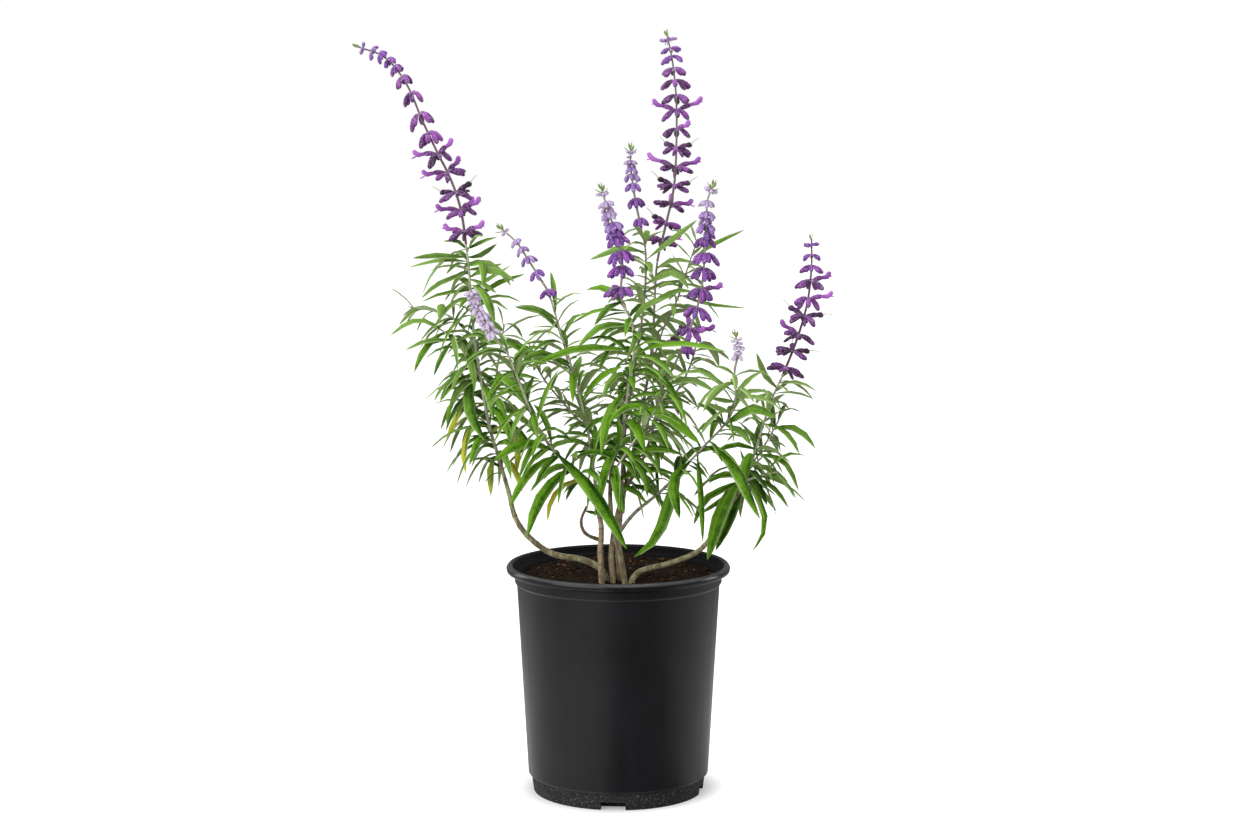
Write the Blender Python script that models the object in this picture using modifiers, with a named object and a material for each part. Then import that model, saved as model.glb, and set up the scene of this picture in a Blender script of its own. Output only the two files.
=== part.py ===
"""A potted Mexican bush sage, Salvia leucantha, in a plain black nursery pot.

Pieces: the pot, the potting soil, six leafy stems that stand in holes in the soil, and nine
flower spikes that stand on them. The frame has its origin at the middle of the pot's underside,
+Z up and +X to the right of someone who looks along +Y. Sizes in the tables are millimetres.

Run it with: blender --background --python part.py
"""

import math
import random
from dataclasses import dataclass, field

import bmesh
import bpy
from mathutils import Vector
from mathutils.bvhtree import BVHTree

MM = 0.001
UP = Vector((0, 0, 1))
PLANT = "potted_mexican_bush_sage"
SEED = 11
SEAT_GAP = 0.3
WELD = 0.00001

# Pot: outer radii and heights, from the rolled rim down to the foot band
POT_SIDES = 32
POT_HEIGHT = 169.5
RIM_RADIUS = 82.5
RIM_DEPTH = 5.2
MOUTH_RADIUS = 77.2
COLLAR_RADIUS = 76.2
COLLAR_BOTTOM = 156.0
BODY_TOP_RADIUS = 74.7
BODY_BOTTOM_RADIUS = 66.6
FOOT_HEIGHT = 13.0
FOOT_TOP_RADIUS = 64.4
FOOT_RADIUS = 62.8
POT_WALL = 1.5
POT_FLOOR = 2.5
LEDGE_HEIGHT = 163.6
MOUTH_DROP = 1.2
RIM_FLAT = (2.0, 1.6)
RIM_BELLY = 2.2
RIM_TUCK = 0.6
COLLAR_DROP = 1.8
SMALL_STEP = 0.6
FLOOR_RISE = 2.0
SCREW_WELD = 0.00005
DRAIN_COMPASS = (-93.5, -11.0, 86.5, 176.5)
DRAIN_WIDTH = 18.0
DRAIN_HEIGHT = 6.0
DRAIN_REACH = 12.0

# Soil: its surface rises from the front of the pot to the back
SOIL_MIDDLE = 158.6
SOIL_SLOPE = 0.058
SOIL_LUMP = 0.9
SOIL_WAVES = (0.13, 0.11)
SOIL_RINGS = (0.35, 0.75)
SOIL_EDGE = 0.8
SOIL_FOOT = 16.0
HOLE_SIDES = 8
HOLE_DEPTH = 30.0
STEM_BURIED = 27.0
STEM_STEP = 27.0

# Leaves: a blade's widths and thickness, and how its edges stand above its keel
PETIOLE_WIDTH = 1.9
LONG = 54.0
TINY = 25.0
LEAF_ASPECT = 0.135
LEAST_WIDTH = 3.2
LEAF_THICKNESS = 1.3
EDGE_RISE = 0.3
LEAF_STEPS = 5

# How leaves stand on a shoot: pairs crowd towards its tip, and small leaves sit in the axils
NODE_SPACING = 16.7
SPACING_SPREAD = (0.88, 1.12)
TIP_CROWDING = 0.3
COMPASS_SPREAD = (-14, 14)
LENGTH_SPREAD = (0.85, 1.12)
AXIL_LENGTH = (15, 24)
AXIL_TURNS = (0.8, -0.9, 2.3)
AXIL_RISE = 1.5

# How a leaf bends: it sets out at a lift, in radians, then droops in proportion to its length
LIFT = (0.4, 1.0)
DROOP = (1.2, 2.1)
HEAVY_LEAF = 50.0
MOSTLY_ALONG_X = 0.8
ROLL_OUT = 0.55
LEAN_OUT = 0.25
PLANT_MIDDLE_Y = -10.0
TILT_X = (-0.35, 0.35)
TILT_Y = (-0.45, 0.25)

# How a leaf is bent clear of the rest
LEAF_CLEARANCE = 0.4
OWN_PART = 0.3
OWN_START = 0.7
TRIES = 14
LAST_TRIES = 3
TRY_TURN = 0.09
TRY_SHRINK = 0.018
TRY_DROOP = 0.1
NUDGE = 0.9
PLAIN_FACE = Vector((0, -0.8, 1))
PLAIN_LEAN = 0.15

# Flowers
CALYX_LENGTH = 12.5
CALYX_RADIUS = 2.3
CALYX_SLIMMEST = 0.3
COROLLA_REACH = 19.0
COROLLA_LIFT = 1.2
COROLLA_BEND = 0.85
COROLLA_DIP = 1.1
CALYX_KNEE = 0.28
YOUNG_RISE = 0.5
HANGING_FROM = 14.0
LOOSENING = 25.0
UNEVEN = 0.16
WAVER = (3.7, 2.0, 5.0)
DROOP_WAVER = 5.1
PAIRED = 0.1
WHORL_BAND = 1.8
SPIKE_THICK = (2.0, 1.2)
TIP_BUD = 3.5
TIP_SWELL = 1.25


@dataclass
class Shoot:
    """A stem or branch: where it runs, how thick it is and the leaves that it bears."""

    route: list
    thick: tuple
    bare: float = 0.0
    leaf: tuple = (58, 34)
    turn: float = 0.0


@dataclass
class Spike:
    """A flower spike: its axis, how far each whorl lies below the tip, and how its calyces are held.

    They are full at first_full below the tip, and the smallest, at the tip, are young of that size. They
    hang steeply or less so, and from loose downwards the whorls are untidy.
    """

    stem: str
    shoot: int
    route: list
    whorls: list
    calyx: float = 1.0
    young: float = 0.35
    hang: float = 0.38
    first_full: float = 45.0
    sides: int = 5
    loose: float = 300.0
    blooms: list = field(default_factory=list)


# Each leafy stem is a main shoot that stands in the soil, followed by its branches.
STEMS = {
    "leafy_stem_far_left": [
        Shoot(
            [(-9, -7, 160), (-14, -8, 168), (-27, -8, 174), (-48, -7, 178), (-65, -7, 190),
             (-75, -7, 204), (-80, -7, 223), (-86, -8, 245), (-94, -8, 273), (-100, -8, 307),
             (-105, -8, 343), (-108, -8, 387), (-110, -8, 405)],
            (5.0, 2.1), bare=0.42, leaf=(52, 34), turn=20),
        Shoot([(-100, -8, 308), (-114, -14, 330), (-126, -17, 343)], (2.2, 1.5), 0.2, (44, 28), 60),
        Shoot([(-103, -8, 330), (-118, -4, 350), (-136, -4, 357), (-152, -8, 360)], (2.1, 1.4), 0.2,
              (36, 20), 10),
        Shoot([(-94, -8, 273), (-92, 6, 292), (-88, 16, 318), (-84, 22, 344)], (2.4, 1.6), 0.15,
              (48, 30), 35),
        Shoot([(-92, -8, 265), (-104, 4, 285), (-114, 14, 308)], (2.4, 1.6), 0.15, (44, 28), 80),
    ],
    "leafy_stem_front_left": [
        Shoot(
            [(-12, -17, 158), (-13, -18, 181), (-13, -21, 205), (-24, -29, 236), (-46, -39, 259),
             (-59, -48, 280), (-68, -57, 305), (-78, -66, 332), (-85, -75, 343)],
            (4.6, 2.0), bare=0.36, leaf=(56, 32), turn=30),
        Shoot(
            [(-13, -21, 207), (-16, -18, 226), (-21, -16, 264), (-27, -19, 293), (-35, -23, 322),
             (-42, -26, 345), (-50, -30, 372)],
            (3.2, 1.9), bare=0.22, leaf=(52, 30), turn=75),
        Shoot([(-13, -18, 190), (-24, -22, 196), (-27, -23, 205), (-23, -23, 216)], (2.2, 1.4), 0.9,
              (14, 12), 0),
    ],
    "leafy_stem_front": [
        Shoot(
            [(5, -22, 159), (0, -25, 188), (-5, -27, 208), (-5, -29, 244), (2, -31, 266),
             (7, -33, 304), (11, -36, 328), (10, -38, 350), (2, -41, 370)],
            (4.4, 2.1), bare=0.34, leaf=(60, 34), turn=10),
        Shoot([(-5, -29, 240), (8, -44, 262), (22, -56, 284), (34, -64, 304)], (2.4, 1.6), 0.2,
              (44, 28), 45),
    ],
    "leafy_stem_right": [
        Shoot(
            [(-4, -12, 160), (-5, -11, 182), (3, -9, 221), (20, -8, 253), (32, -9, 299),
             (42, -12, 321), (45, -14, 328)],
            (4.2, 2.2), bare=0.38, leaf=(54, 32), turn=55),
        Shoot(
            [(-4, -11, 188), (11, -16, 209), (32, -22, 228), (62, -28, 261), (79, -34, 281),
             (84, -40, 298), (83, -45, 318)],
            (3.2, 1.9), bare=0.3, leaf=(50, 30), turn=15),
    ],
    "leafy_stem_far_right": [
        Shoot(
            [(10, -13, 160), (16, -12, 166), (37, -8, 171), (58, -4, 179), (70, -2, 192),
             (83, 0, 214), (93, 3, 231), (101, 5, 254), (112, 8, 289), (121, 10, 309)],
            (4.4, 2.0), bare=0.6, leaf=(48, 32), turn=0),
        Shoot([(96, 4, 240), (106, 11, 253), (116, 14, 270), (123, 17, 283)], (2.2, 1.5), 0.3,
              (34, 26), 50),
        Shoot([(90, 2, 227), (96, 16, 236), (108, 26, 246)], (2.4, 1.6), 0.1, (42, 28), 20),
        Shoot([(92, 3, 230), (104, -6, 236), (116, -16, 240)], (2.3, 1.6), 0.1, (40, 28), 70),
    ],
    "leafy_stem_back": [
        Shoot(
            [(1, -3, 161), (0, 4, 186), (3, 17, 213), (16, 28, 272), (25, 38, 324),
             (27, 45, 360), (29, 50, 388)],
            (4.6, 2.2), bare=0.36, leaf=(56, 34), turn=40),
        Shoot([(3, 17, 214), (3, 12, 240), (6, 10, 274), (14, 13, 326), (19, 16, 363),
               (20, 18, 398), (16, 20, 418)], (3.2, 1.9), 0.24, (52, 30), 85),
        Shoot([(4, 18, 218), (-14, 38, 250), (-32, 54, 288), (-42, 64, 330)], (3.0, 1.8), 0.25,
              (56, 34), 25),
        Shoot([(10, 23, 246), (30, 44, 272), (52, 60, 304), (62, 68, 338)], (2.8, 1.7), 0.2,
              (52, 32), 70),
        Shoot([(20, 32, 296), (34, 18, 344), (43, 12, 363), (51, 10, 388), (58, 10, 408)],
              (2.2, 1.4), 0.5, (24, 16), 10),
        Shoot([(-18, 42, 258), (-38, 40, 280), (-58, 38, 306), (-66, 36, 328)], (2.4, 1.6), 0.25,
              (48, 32), 50),
    ],
}

# Leaves that stand out in the picture: shoot, points from root to tip, and width.
PLAIN_TO_SEE = {
    "leafy_stem_far_left": [
        (0, [(-88, -6, 251), (-93, -9, 246), (-93, -14, 222)], 5.5),
        (0, [(-91, -8, 268), (-80, -10, 275), (-73, -12, 262), (-75, -16, 235)], 5.5),
        (0, [(-94, -8, 275), (-107, -10, 272), (-113, -12, 255), (-111, -16, 239)], 5.5),
        (0, [(-96, -8, 288), (-111, -9, 288), (-120, -11, 276), (-125, -14, 262)], 4.5),
        (0, [(-99, -8, 308), (-107, -15, 306), (-107, -22, 285), (-96, -29, 265)], 8.5),
        (0, [(-99, -8, 309), (-114, -7, 303), (-124, -4, 283), (-125, -4, 272)], 4.5),
        (0, [(-99, -8, 315), (-116, -12, 307), (-129, -18, 295)], 4.5),
        (1, [(-125, -17, 343), (-141, -19, 352), (-152, -21, 350), (-164, -24, 341)], 5.0),
        (1, [(-120, -15, 337), (-137, -24, 338), (-153, -30, 331)], 5.0),
        (0, [(-109, -8, 397), (-131, -12, 398), (-148, -16, 396)], 5.0),
        (0, [(-108, -8, 393), (-129, -2, 394), (-152, 4, 388)], 4.5),
        (0, [(-107, -8, 387), (-122, -11, 381), (-133, -15, 376), (-142, -18, 367)], 5.0),
        (0, [(-107, -8, 374), (-128, -4, 370), (-143, -2, 363)], 5.0),
        (0, [(-109, -8, 401), (-117, -5, 408), (-127, -2, 407)], 3.5),
        (0, [(-109, -8, 401), (-96, -11, 409), (-87, -14, 411)], 4.5),
        (0, [(-109, -8, 396), (-101, -4, 397), (-88, 0, 405)], 4.5),
        (0, [(-109, -8, 391), (-98, -15, 392), (-97, -21, 375)], 6.0),
        (0, [(-108, -8, 388), (-84, -4, 391)], 5.0),
        (0, [(-107, -8, 376), (-94, -11, 381), (-77, -15, 391)], 5.0),
        (0, [(-107, -8, 368), (-86, -2, 378), (-68, 2, 383)], 5.0),
        (0, [(-105, -8, 356), (-92, -11, 366), (-79, -16, 358)], 5.0),
    ],
    "leafy_stem_front_left": [
        (0, [(-44, -40, 261), (-24, -46, 238), (-10, -52, 219), (6, -58, 191)], 10.0),
        (0, [(-43, -40, 256), (-52, -48, 250), (-60, -54, 235)], 5.0),
        (0, [(-46, -40, 260), (-60, -50, 267), (-74, -58, 266), (-88, -66, 256)], 9.0),
        (0, [(-30, -33, 247), (-43, -42, 242), (-58, -50, 223), (-65, -57, 200)], 8.5),
        (0, [(-24, -29, 236), (-38, -35, 235), (-49, -39, 223), (-51, -44, 209)], 5.5),
        (1, [(-42, -26, 345), (-55, -34, 360), (-74, -40, 363)], 6.5),
        (1, [(-33, -23, 317), (-56, -32, 330), (-70, -40, 322)], 6.5),
    ],
    "leafy_stem_front": [
        (0, [(1, -31, 266), (-9, -40, 248), (-17, -50, 213)], 7.0),
        (0, [(6, -33, 303), (-7, -42, 287), (-12, -54, 259)], 7.0),
        (0, [(0, -30, 261), (9, -35, 254), (19, -38, 242), (21, -42, 226)], 6.0),
        (0, [(6, -33, 288), (29, -38, 289), (44, -44, 279), (58, -50, 266)], 9.5),
        (0, [(11, -36, 328), (26, -41, 336), (51, -46, 338), (77, -51, 332)], 6.5),
        (0, [(11, -36, 330), (-21, -42, 335), (-36, -48, 333), (-65, -53, 321)], 6.5),
        (0, [(9, -38, 351), (-12, -42, 350), (-29, -47, 335)], 6.0),
        (0, [(4, -40, 366), (-7, -46, 364), (-17, -53, 351)], 5.5),
        (0, [(6, -39, 360), (-15, -36, 361), (-36, -33, 349)], 4.5),
        (0, [(10, -37, 346), (12, -46, 342), (6, -51, 326)], 4.5),
    ],
    "leafy_stem_right": [
        (0, [(24, -8, 274), (33, -13, 271), (32, -18, 249)], 6.5),
        (0, [(34, -10, 303), (52, -16, 309), (70, -22, 300)], 6.0),
        (0, [(30, -9, 291), (50, -2, 298)], 5.0),
        (1, [(42, -24, 239), (37, -29, 224), (31, -31, 205), (24, -33, 192), (11, -37, 181)], 10.5),
        (1, [(53, -26, 250), (40, -36, 238), (44, -44, 211)], 8.5),
        (1, [(62, -29, 261), (71, -37, 260), (82, -44, 251), (91, -51, 234), (101, -58, 213)], 9.5),
        (1, [(58, -28, 255), (58, -33, 244), (60, -35, 221), (61, -37, 192)], 4.5),
        (1, [(83, -45, 317), (72, -51, 333), (56, -57, 336)], 5.0),
        (1, [(83, -40, 303), (56, -47, 319), (35, -53, 311)], 5.0),
        (1, [(83, -45, 316), (94, -48, 338), (113, -52, 356)], 5.5),
        (1, [(84, -41, 301), (94, -44, 313), (104, -47, 318)], 5.5),
        (1, [(84, -40, 299), (98, -33, 303), (112, -27, 299)], 5.0),
        (1, [(83, -39, 294), (65, -50, 299)], 5.0),
        (1, [(81, -36, 287), (62, -28, 293)], 5.0),
        (1, [(77, -33, 279), (66, -42, 290), (56, -48, 295)], 6.5),
        (1, [(76, -33, 278), (96, -43, 291), (112, -51, 285)], 8.5),
        (1, [(77, -34, 279), (88, -40, 274), (95, -45, 264)], 6.0),
    ],
    "leafy_stem_far_right": [
        (0, [(93, 3, 232), (86, -3, 230), (73, -11, 206), (65, -18, 176)], 11.5),
        (0, [(94, 4, 234), (90, 9, 226), (79, 8, 196), (72, 8, 178)], 9.5),
        (0, [(96, 4, 238), (104, 6, 216), (108, 3, 202), (105, 0, 188), (98, -2, 179)], 4.5),
        (0, [(92, 3, 230), (80, -4, 228), (63, -8, 219), (55, -14, 201)], 6.5),
        (0, [(90, 3, 227), (78, 13, 217), (59, 17, 203)], 6.5),
        (0, [(99, 5, 249), (116, 1, 249), (125, -3, 242), (132, -6, 225)], 5.0),
        (0, [(98, 4, 244), (109, -3, 242), (124, -10, 232)], 5.5),
        (0, [(96, 4, 238), (100, -8, 239), (109, -16, 227)], 5.5),
        (0, [(95, 4, 236), (103, -2, 228), (109, -6, 214)], 5.5),
        (0, [(94, 4, 234), (102, 12, 229), (114, 16, 212)], 5.0),
        (0, [(101, 5, 252), (86, 12, 257), (69, 17, 249)], 5.0),
        (0, [(116, 9, 299), (109, 6, 311), (103, 2, 329)], 6.0),
        (0, [(109, 8, 278), (117, 3, 282), (124, -2, 309)], 8.5),
        (0, [(118, 9, 302), (134, 6, 305), (148, 3, 299)], 4.0),
    ],
    "leafy_stem_back": [
        (1, [(20, 18, 391), (31, 9, 402), (57, 3, 422)], 4.8),
        (1, [(20, 18, 396), (1, 12, 401), (-21, 8, 393)], 5.5),
        (0, [(28, 48, 382), (40, 42, 391), (56, 38, 389)], 5.5),
        (1, [(19, 17, 372), (36, 8, 384), (44, 4, 383), (51, -2, 373)], 7.0),
        (1, [(18, 16, 359), (42, 6, 371), (54, 2, 370)], 6.0),
        (4, [(52, 10, 388), (64, 5, 402), (91, 1, 415)], 4.0),
        (4, [(44, 11, 365), (64, 13, 361), (93, 16, 357)], 4.0),
    ],
}

# Blooms are (whorl, compass angle, length share); 0 looks to +X and 90 away from the viewer.
SPIKES = {
    "flower_spike_far_left": Spike(
        "leafy_stem_far_left", 0,
        [(-110, -8, 405), (-113, -10, 428), (-117, -11, 443), (-123, -12, 458), (-129, -14, 470),
         (-140, -16, 494), (-151, -17, 520), (-166, -18, 539), (-186, -20, 547)],
        [5, 11, 17, 24, 31, 40, 53, 69, 84, 100, 115, 131, 144, 160], hang=0.5, first_full=66.0, loose=84.0,
        blooms=[(9, 185, 1.0), (9, 10, 0.7), (10, 190, 0.95), (10, 80, 0.8), (11, 170, 0.8), (11, 5, 0.9),
                (12, 180, 0.95), (12, 340, 0.85), (13, 350, 1.1), (13, 200, 0.8), (12, 95, 0.8)]),
    "flower_spike_left": Spike(
        "leafy_stem_front_left", 1,
        [(-50, -30, 372), (-55, -31, 381), (-65, -33, 397), (-72, -34, 408), (-84, -36, 419)],
        [5, 14, 21, 29, 41, 57], calyx=0.68, first_full=34.0, sides=4),
    "flower_spike_young": Spike(
        "leafy_stem_front_left", 0,
        [(-85, -75, 343), (-95, -79, 360), (-100, -81, 370), (-104, -84, 382)],
        [6, 11, 17, 23, 30, 37], calyx=0.7, young=0.6, first_full=60.0, sides=4),
    "flower_spike_front": Spike(
        "leafy_stem_front", 0,
        [(2, -41, 370), (3, -42, 393), (-2, -44, 416), (-8, -46, 434), (-12, -48, 448)],
        [5, 11, 18, 27, 37, 48, 59, 74], calyx=0.98, young=0.36, first_full=48.0, loose=60.0),
    "flower_spike_back_small": Spike(
        "leafy_stem_back", 1,
        [(16, 20, 418), (12, 19, 438), (9, 19, 460), (9, 18, 474)],
        [4, 10, 15, 20, 27, 38, 53], calyx=0.72, hang=0.42, first_full=28.0, sides=4),
    "flower_spike_tall": Spike(
        "leafy_stem_back", 0,
        [(29, 50, 388), (35, 53, 414), (41, 55, 441), (43, 58, 469), (43, 61, 508), (40, 63, 537),
         (36, 66, 556)],
        [5, 11, 17, 26, 35, 46, 57, 71, 85, 99, 113, 127, 141, 154], young=0.4, hang=0.28, first_full=32.0,
        loose=78.0,
        blooms=[(6, 0, 1.1), (6, 185, 1.0), (8, 5, 0.8), (9, 180, 1.2), (9, 355, 1.0), (10, 175, 0.9),
                (10, 10, 0.85), (11, 5, 0.9), (12, 180, 0.8), (13, 350, 1.0), (8, 90, 0.9),
                (11, 95, 0.9), (7, 270, 0.7)]),
    "flower_spike_right": Spike(
        "leafy_stem_right", 0,
        [(45, -14, 328), (52, -16, 345), (60, -17, 374), (63, -19, 419), (64, -20, 438),
         (68, -22, 449)],
        [5, 13, 21, 30, 40, 51, 62, 77, 91, 107, 120], young=0.36, first_full=50.0, loose=95.0,
        blooms=[(7, 355, 0.8), (9, 0, 0.95), (9, 330, 0.8), (10, 185, 0.7), (9, 100, 0.8)]),
    "flower_spike_far_right": Spike(
        "leafy_stem_far_right", 0,
        [(121, 10, 309), (131, 10, 335), (138, 11, 360), (141, 12, 385), (141, 12, 408)],
        [5, 12, 20, 31, 44, 57, 71, 84, 97], hang=0.3, first_full=34.0, loose=46.0,
        blooms=[(3, 350, 0.8), (4, 10, 0.95), (5, 0, 1.05), (5, 170, 0.9), (7, 0, 0.9), (6, 190, 0.85),
                (7, 95, 0.8)]),
    "flower_spike_bud": Spike(
        "leafy_stem_right", 1,
        [(83, -45, 318), (86, -46, 333), (83, -46, 344)],
        [5, 10, 16], calyx=0.6, young=0.6, first_full=60.0, sides=4),
}


class Line:
    """A smooth route through a few points, read by the distance along it.

    A point before its start or after its end bends that end towards it.
    """

    def __init__(self, points, pieces=6, before=None, after=None):
        knots = [Vector(point) for point in points]
        lead = [knots[0] if before is None else Vector(before)] + knots[:-1]
        trail = knots[1:] + [knots[-1] if after is None else Vector(after)]
        ways = [(later - earlier).normalized() for earlier, later in zip(lead, trail)]
        self.points = [knots[0]]
        for start, end, leave, arrive in zip(knots, knots[1:], ways, ways[1:]):
            span = (end - start).length
            for step in range(1, pieces + 1):
                t = step / pieces
                rise = t * t * (3 - 2 * t)
                self.points.append(
                    start * (1 - rise) + end * rise
                    + leave * span * t * (1 - t) ** 2 - arrive * span * t * t * (1 - t))
        self.marks = [0.0]
        for a, b in zip(self.points, self.points[1:]):
            self.marks.append(self.marks[-1] + (b - a).length)
        self.length = self.marks[-1]

    def span_at(self, distance):
        """The number of the straight piece there, and how far along it the distance falls."""
        distance = min(max(distance, 0.0), self.length)
        index = 0
        while index < len(self.marks) - 2 and self.marks[index + 1] < distance:
            index += 1
        return index, (distance - self.marks[index]) / (self.marks[index + 1] - self.marks[index])

    def at(self, distance):
        index, share = self.span_at(distance)
        return self.points[index].lerp(self.points[index + 1], share)

    def heading(self, distance):
        index, _ = self.span_at(distance)
        return (self.points[index + 1] - self.points[index]).normalized()

    def nearest(self, place):
        """How far along the route it passes closest to a place."""
        index = min(range(len(self.points)), key=lambda i: (self.points[i] - place).length_squared)
        return self.marks[index]


@dataclass
class Blade:
    """A leaf: its midrib, its width and roughly which way its upper face looks."""

    rib: Line
    width: float
    face: Vector


@dataclass
class Flower:
    """A calyx or an open bloom: a finger that a spike bears at one whorl, on one side."""

    whorl: int
    side: int
    line: Line
    span: Vector
    radius: float
    kind: str


def loft(rings, start=None, end=None):
    """Points and triangles of a skin over rings of equal count, closed by a point or flat at each end."""
    count = len(rings[0])
    points = [point for ring in rings for point in ring]
    faces = []
    for low in range(0, len(points) - count, count):
        for side in range(count):
            a, b = low + side, low + (side + 1) % count
            faces.append((a, b, b + count))
            faces.append((a, b + count, a + count))
    last = len(points) - count
    if start is None:
        faces += [(0, side + 1, side) for side in range(1, count - 1)]
    else:
        points.append(start)
        faces += [(len(points) - 1, (side + 1) % count, side) for side in range(count)]
    if end is None:
        faces += [(last, last + side, last + side + 1) for side in range(1, count - 1)]
    else:
        points.append(end)
        faces += [(len(points) - 1, last + side, last + (side + 1) % count) for side in range(count)]
    return points, faces


def across(heading, hint):
    """A unit vector square to the heading that points as far as it can towards the hint."""
    side = hint - heading * hint.dot(heading)
    return side.normalized() if side.length > 1e-6 else heading.orthogonal().normalized()


# Stations along a blade: share of its length, share of its width
LONG_LEAF = ((0.16, 0.5), (0.42, 1.0), (0.74, 0.74))
SHORT_LEAF = ((0.2, 0.66), (0.56, 1.0))
TINY_LEAF = ((0.42, 1.0),)


def leaf_stations(length):
    if length > LONG:
        return LONG_LEAF
    return SHORT_LEAF if length > TINY else TINY_LEAF


def blade_ring(blade, share, width, thick):
    """A three-cornered cross-section: the two edges and the keel of the midrib below them."""
    distance = share * blade.rib.length
    heading = blade.rib.heading(distance)
    top = across(heading, blade.face)
    side = top.cross(heading)
    middle = blade.rib.at(distance)
    return [
        middle + side * width / 2 + top * thick * EDGE_RISE,
        middle - side * width / 2 + top * thick * EDGE_RISE,
        middle - top * thick * (1 - EDGE_RISE),
    ]


def blade_skin(blade, extra=0.0):
    """The leaf as a closed skin; extra swells it to test how clear it lies of the rest."""
    thick = LEAF_THICKNESS + 2 * extra
    rings = [blade_ring(blade, 0.0, PETIOLE_WIDTH + 2 * extra, thick)]
    for share, part in leaf_stations(blade.rib.length):
        rings.append(blade_ring(blade, share, blade.width * part + 2 * extra, thick))
    tip = blade.rib.points[-1] + blade.rib.heading(blade.rib.length) * extra
    return loft(rings, end=tip)


def outer_skin(blade):
    """The leaf past its root, to test it against the other leaves of its own stem."""
    stations = [(share, part) for share, part in leaf_stations(blade.rib.length) if share > OWN_PART]
    stations.insert(0, (OWN_PART, stations[0][1] * OWN_START))
    return loft([blade_ring(blade, share, blade.width * part, LEAF_THICKNESS) for share, part in stations],
                end=blade.rib.points[-1])


def round_ring(line, share, radius, sides):
    distance = share * line.length
    heading = line.heading(distance)
    first = across(heading, UP)
    second = heading.cross(first)
    return [
        line.at(distance)
        + (first * math.cos(2 * math.pi * k / sides) + second * math.sin(2 * math.pi * k / sides)) * radius
        for k in range(sides)
    ]


# Stations along a flower, by kind: share of its length, share of its radius. The last is its blunt end.
FLOWER_STATIONS = {
    "calyx": ((1.0, 0.85),),
    "bloom": ((0.42, 1.0), (0.8, 0.75), (1.0, 0.5)),
}


def flower_rings(flower):
    """Square cross-sections along a flower, their first side turned along its span."""
    rings = []
    for share, part in FLOWER_STATIONS[flower.kind]:
        distance = share * flower.line.length
        wide = flower.span * flower.radius * part
        high = flower.line.heading(distance).cross(flower.span).normalized() * flower.radius * part
        middle = flower.line.at(distance)
        rings.append([middle - wide - high, middle + wide - high, middle + wide + high, middle - wide + high])
    return rings


def flower_skin(flower):
    return loft(flower_rings(flower), start=flower.line.points[0])


def tube_skin(line, low_radius, high_radius, sides=6, step=9.0):
    count = max(2, round(line.length / step) + 1)
    rings = []
    for k in range(count):
        share = k / (count - 1)
        rings.append(round_ring(line, share, low_radius + (high_radius - low_radius) * share, sides))
    return loft(rings)


class Room:
    """What is already placed, so that the next leaf can be bent clear of it."""

    def __init__(self):
        self.taken = []

    def add(self, owner, skin):
        points, faces = skin
        low = Vector(min(point[axis] for point in points) for axis in range(3))
        high = Vector(max(point[axis] for point in points) for axis in range(3))
        tree = BVHTree.FromPolygons(points, faces, all_triangles=True)
        self.taken.append((owner, low, high, tree))

    def meets(self, skin, owner, own):
        """Whether a skin crosses what its owner has placed, or what the others have."""
        points, faces = skin
        low = Vector(min(point[axis] for point in points) for axis in range(3))
        high = Vector(max(point[axis] for point in points) for axis in range(3))
        tree = None
        for other, other_low, other_high, other_tree in self.taken:
            if (other == owner) != own:
                continue
            if any(low[k] > other_high[k] or other_low[k] > high[k] for k in range(3)):
                continue
            tree = tree or BVHTree.FromPolygons(points, faces, all_triangles=True)
            if tree.overlap(other_tree):
                return True
        return False


def folded(skin):
    """Whether a skin runs through itself, as a blade's does where it bends too sharply."""
    points, faces = skin
    tree = BVHTree.FromPolygons(points, faces, all_triangles=True)
    return any(not set(faces[a]) & set(faces[b]) for a, b in tree.overlap(tree))


def soil_height(x, y):
    lump = math.sin(x * SOIL_WAVES[0] + 1) * math.sin(y * SOIL_WAVES[1])
    return SOIL_MIDDLE + SOIL_SLOPE * y + SOIL_LUMP * lump


def wall_radius(height):
    """The pot's inner wall below its ledge."""
    share = (height - FOOT_HEIGHT) / (COLLAR_BOTTOM - FOOT_HEIGHT)
    return BODY_BOTTOM_RADIUS + (BODY_TOP_RADIUS - BODY_BOTTOM_RADIUS) * share - POT_WALL


def pot_profile():
    """Radii and heights of the pot's wall, from the inner edge of its rim round to the inside."""
    return [
        (MOUTH_RADIUS, POT_HEIGHT - MOUTH_DROP),
        (MOUTH_RADIUS + RIM_FLAT[0], POT_HEIGHT),
        (RIM_RADIUS - RIM_FLAT[1], POT_HEIGHT),
        (RIM_RADIUS, POT_HEIGHT - RIM_BELLY),
        (RIM_RADIUS - RIM_TUCK, POT_HEIGHT - RIM_DEPTH),
        (COLLAR_RADIUS, POT_HEIGHT - RIM_DEPTH - COLLAR_DROP),
        (COLLAR_RADIUS, COLLAR_BOTTOM + SMALL_STEP),
        (BODY_TOP_RADIUS, COLLAR_BOTTOM - SMALL_STEP),
        (BODY_BOTTOM_RADIUS, FOOT_HEIGHT + SMALL_STEP),
        (FOOT_TOP_RADIUS, FOOT_HEIGHT - SMALL_STEP),
        (FOOT_RADIUS, 0.0),
        (0.0, 0.0),
        (0.0, POT_FLOOR),
        (FOOT_RADIUS - POT_WALL, POT_FLOOR),
        (wall_radius(FOOT_HEIGHT) - SMALL_STEP, FOOT_HEIGHT + FLOOR_RISE),
        (wall_radius(LEDGE_HEIGHT), LEDGE_HEIGHT - SMALL_STEP / 2),
        (MOUTH_RADIUS - SMALL_STEP, LEDGE_HEIGHT + SMALL_STEP / 2),
        (MOUTH_RADIUS, POT_HEIGHT - MOUTH_DROP),
    ]


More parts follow.
